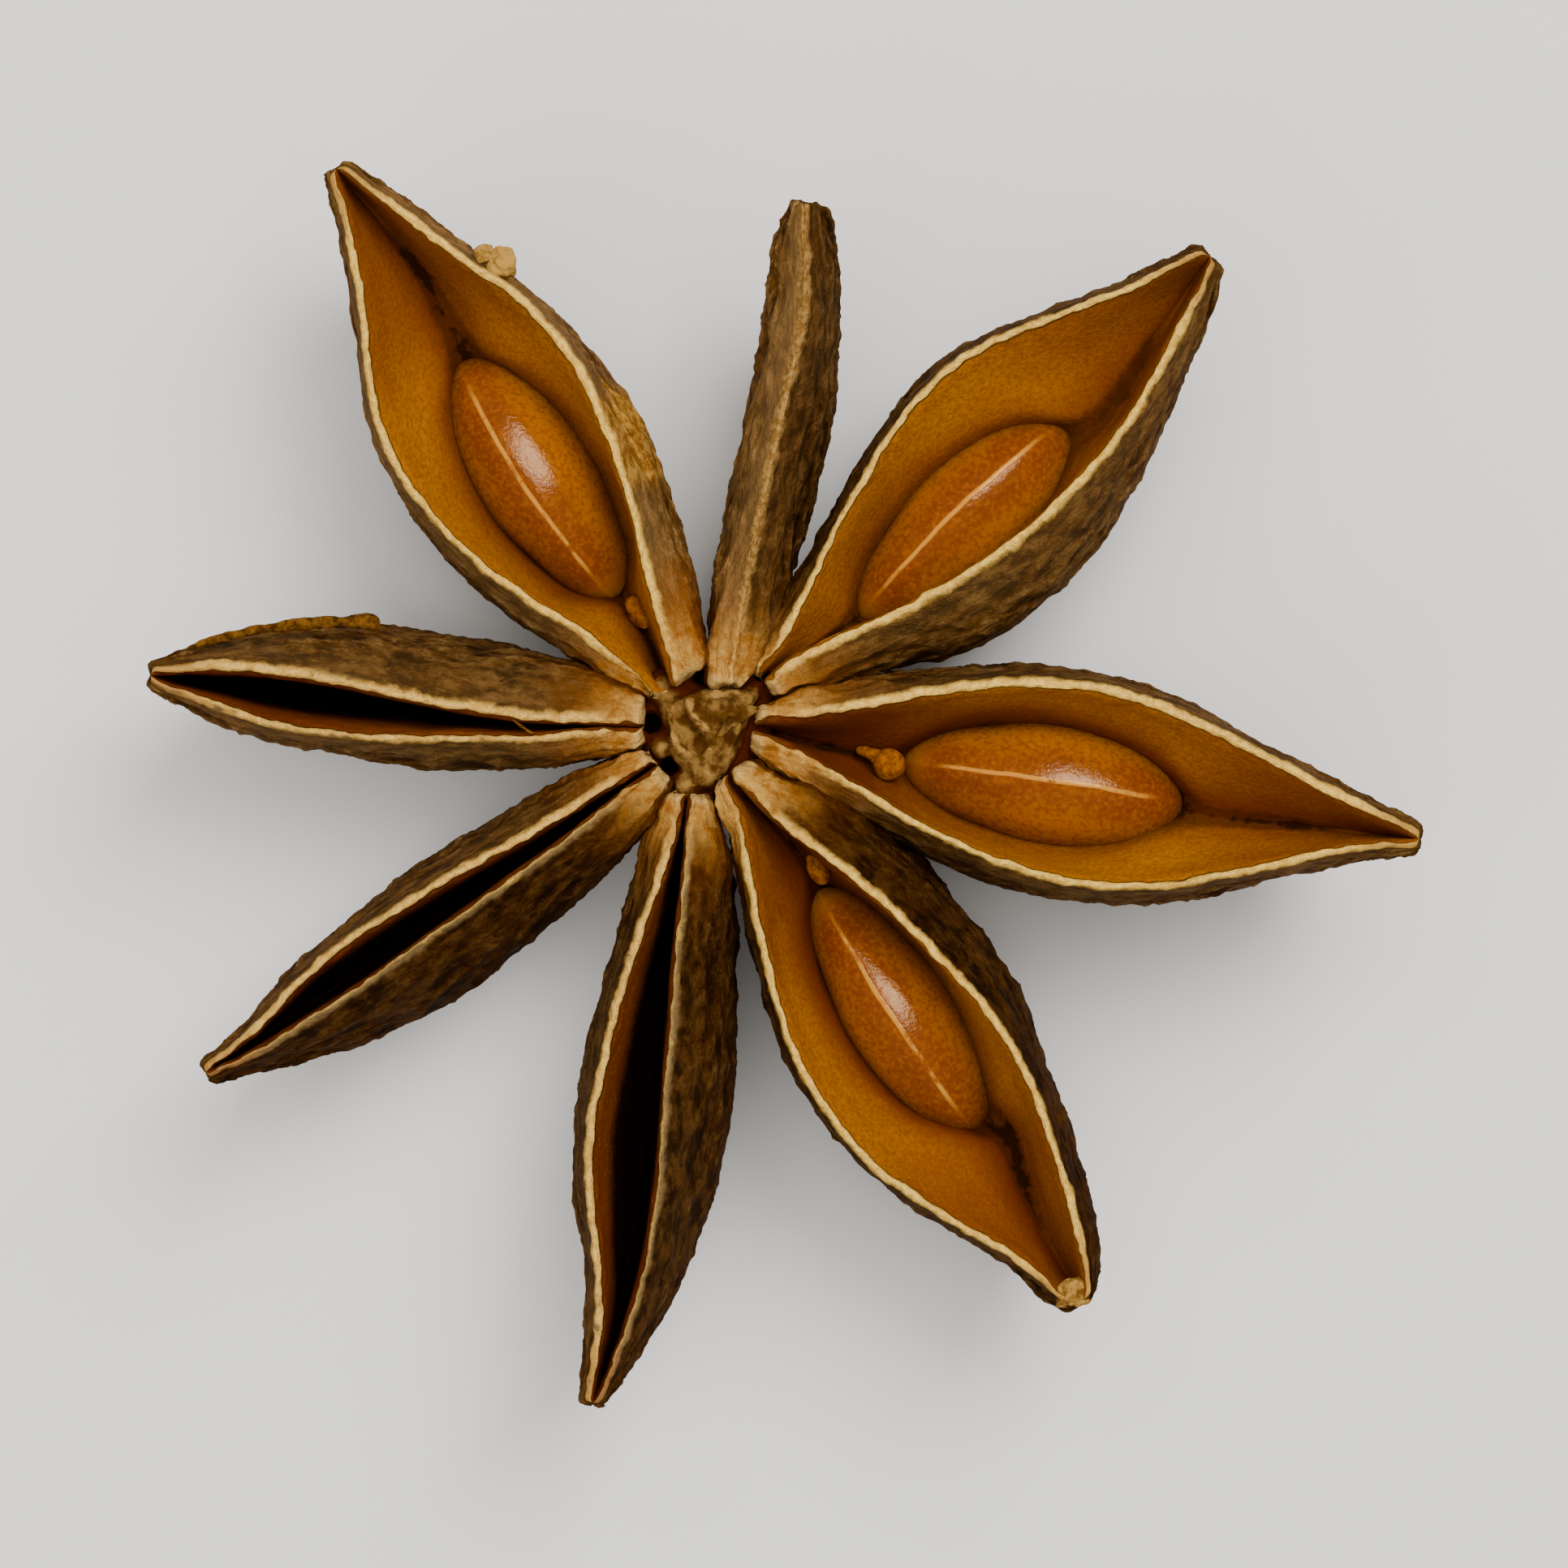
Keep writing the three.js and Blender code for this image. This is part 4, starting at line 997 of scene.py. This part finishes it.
def column_piece(material):
    """The scar on top of the column, and the stem under the carpels."""
    scar = start(bpy.ops.mesh.primitive_circle_add, "column", vertices=len(SCAR), radius=2.3,
                 fill_type="NGON", location=(0, 0, -1.5), rotation=(0, 0, 0.19))
    cage = edit(scar)
    bpy.ops.mesh.select_all(action="SELECT")
    for scale, z in ((1.75, -0.8), (1.35, -0.72), (1.12, -0.8), (1.0, -0.2), (0.9, -0.1)):
        bpy.ops.mesh.extrude_region_move()
        place_ring(cage, SCAR, scale, z)
    for thickness in (0.16, 0.2, 0.22):
        bpy.ops.mesh.inset(thickness=thickness)
    close()
    subdivide(scar, 4)
    before = places(scar)
    crests = [((mix(x0, x1, i / 8), mix(y0, y1, i / 8), -0.1), move, 0.26)
              for (x0, y0), (x1, y1), move in RIDGES for i in range(9)]
    pits = [((x, y, -0.6), -1.3, 1.3 * size) for x, y, size in PITS]
    drag(scar, *[(place, (0, 0, move), reach)
                 for place, move, reach in crests + list(HOLLOWS) + pits])
    roughen(scar, LUMPS, 0.2)
    roughen(scar, CRUMBLE, 0.16)
    keep_relief(scar, before)
    set_down(scar, 0)
    belong(scar, material, "husk", "pod")

    stem = start(bpy.ops.mesh.primitive_cone_add, "stem", vertices=24, radius1=1.5, radius2=2.05,
                 depth=4.0, location=(0, 0, -3.2))
    cage = edit(stem)
    bpy.ops.mesh.select_mode(type="FACE")
    for face in cage.faces:
        face.select = face.calc_center_median().z < -5.1
    bpy.ops.mesh.inset(thickness=0.5)
    bpy.ops.mesh.extrude_region_move(TRANSFORM_OT_translate={"value": (0, 0, -0.3)})
    bpy.ops.transform.resize(value=(0.92, 0.92, 1))
    bpy.ops.mesh.extrude_region_move(TRANSFORM_OT_translate={"value": (0, 0, -1.2)})
    bpy.ops.mesh.inset(thickness=0.2)
    close()
    subdivide(stem, 4)
    before = places(stem)
    roughen(stem, CRUMBLE, 0.25)
    keep_relief(stem, before)
    set_down(stem, 0)
    belong(stem, material, "husk", "pod")


def studio():
    """A pale table, soft light mostly from the upper right, and a camera straight above."""
    floor = start(bpy.ops.mesh.primitive_plane_add, "table", size=1.2)
    floor.data.materials.append(floor_finish())
    for name, place, size, power, gloss in (
        ("key", (0.13, 0.176, 0.36), (0.2, 0.22), 1.6, True),
        ("fill", (-0.3, -0.25, 0.35), (0.5, 0.5), 1.1, False),
        ("top", (0.0, 0.1, 0.6), (0.5, 0.5), 2.8, False),
    ):
        light = bpy.data.lights.new(name, "AREA")
        light.shape = "RECTANGLE"
        light.size, light.size_y = size
        light.energy = power
        lamp = bpy.data.objects.new(name, light)
        bpy.context.scene.collection.objects.link(lamp)
        lamp.location = place
        lamp.rotation_euler = (-Vector(place)).to_track_quat("-Z", "Y").to_euler()
        lamp.visible_glossy = gloss
    world = bpy.data.worlds.new("studio")
    world.use_nodes = True
    world.node_tree.nodes["Background"].inputs["Color"].default_value = (1.0, 0.97, 0.93, 1)
    world.node_tree.nodes["Background"].inputs["Strength"].default_value = 0.46
    bpy.context.scene.world = world
    camera = bpy.data.objects.new("camera", bpy.data.cameras.new("camera"))
    camera.data.lens = 300
    camera.data.clip_start = 0.01
    camera.location = (0, 0, 0.35)
    bpy.context.scene.collection.objects.link(camera)
    bpy.context.scene.camera = camera


studio()

cream = (tone(214, 164, 68), tone(242, 197, 94))
drab = (tone(199, 150, 66), tone(226, 181, 92))
fawn = (tone(126, 87, 38), tone(162, 124, 66))
ripe = husk_finish("open husk", tone(153, 92, 1), tone(128, 71, 1), cream, 0.2, 0)
dim = husk_finish("closed husk", tone(114, 54, 5), tone(86, 32, 1), drab, 0.8, 0.95)
sealed = husk_finish("sealed husk", tone(96, 44, 1), tone(48, 15, 1), fawn, 0.0, 0)
coat = seed_finish()
stalk = crumb_finish("seed stalk", tone(96, 44, 1), tone(146, 84, 8))
torn = crumb_finish("torn husk", tone(54, 29, 4), tone(110, 71, 22))
straw = crumb_finish("frayed husk", tone(108, 66, 14), tone(172, 122, 48))
chip = crumb_finish("pale crumb", tone(100, 64, 20), tone(170, 128, 58))

for carpel in CARPELS:
    name = carpel["name"]
    carpel_piece(carpel, ripe if carpel["seed"] else dim if carpel["cleft"] > 1 else sealed)
    if carpel["seed"]:
        seed_piece(carpel, coat)
    if carpel["knob"]:
        x, y, length, width = carpel["knob"]
        crumb_piece("stalk_" + name, carpel, (x, y, -KNOB_SUNK), (length, width, width), stalk,
                    0.1)
    for number, (kind, *shape) in enumerate(carpel.get("bits", ())):
        if kind == "crumb":
            place, size, *rough = shape
            crumb_piece("crumb_%s_%d" % (name, number), carpel, place, size, chip, *rough)
        else:
            path = shape[0]
            if kind == "fibre":
                path = [(x, *on_flank(carpel, x, level), *size) for x, level, *size in path]
            strand_piece("%s_%s_%d" % (kind, name, number), carpel, path,
                         dict(fibre=straw, stem=stalk).get(kind, torn))

column_piece(column_finish())
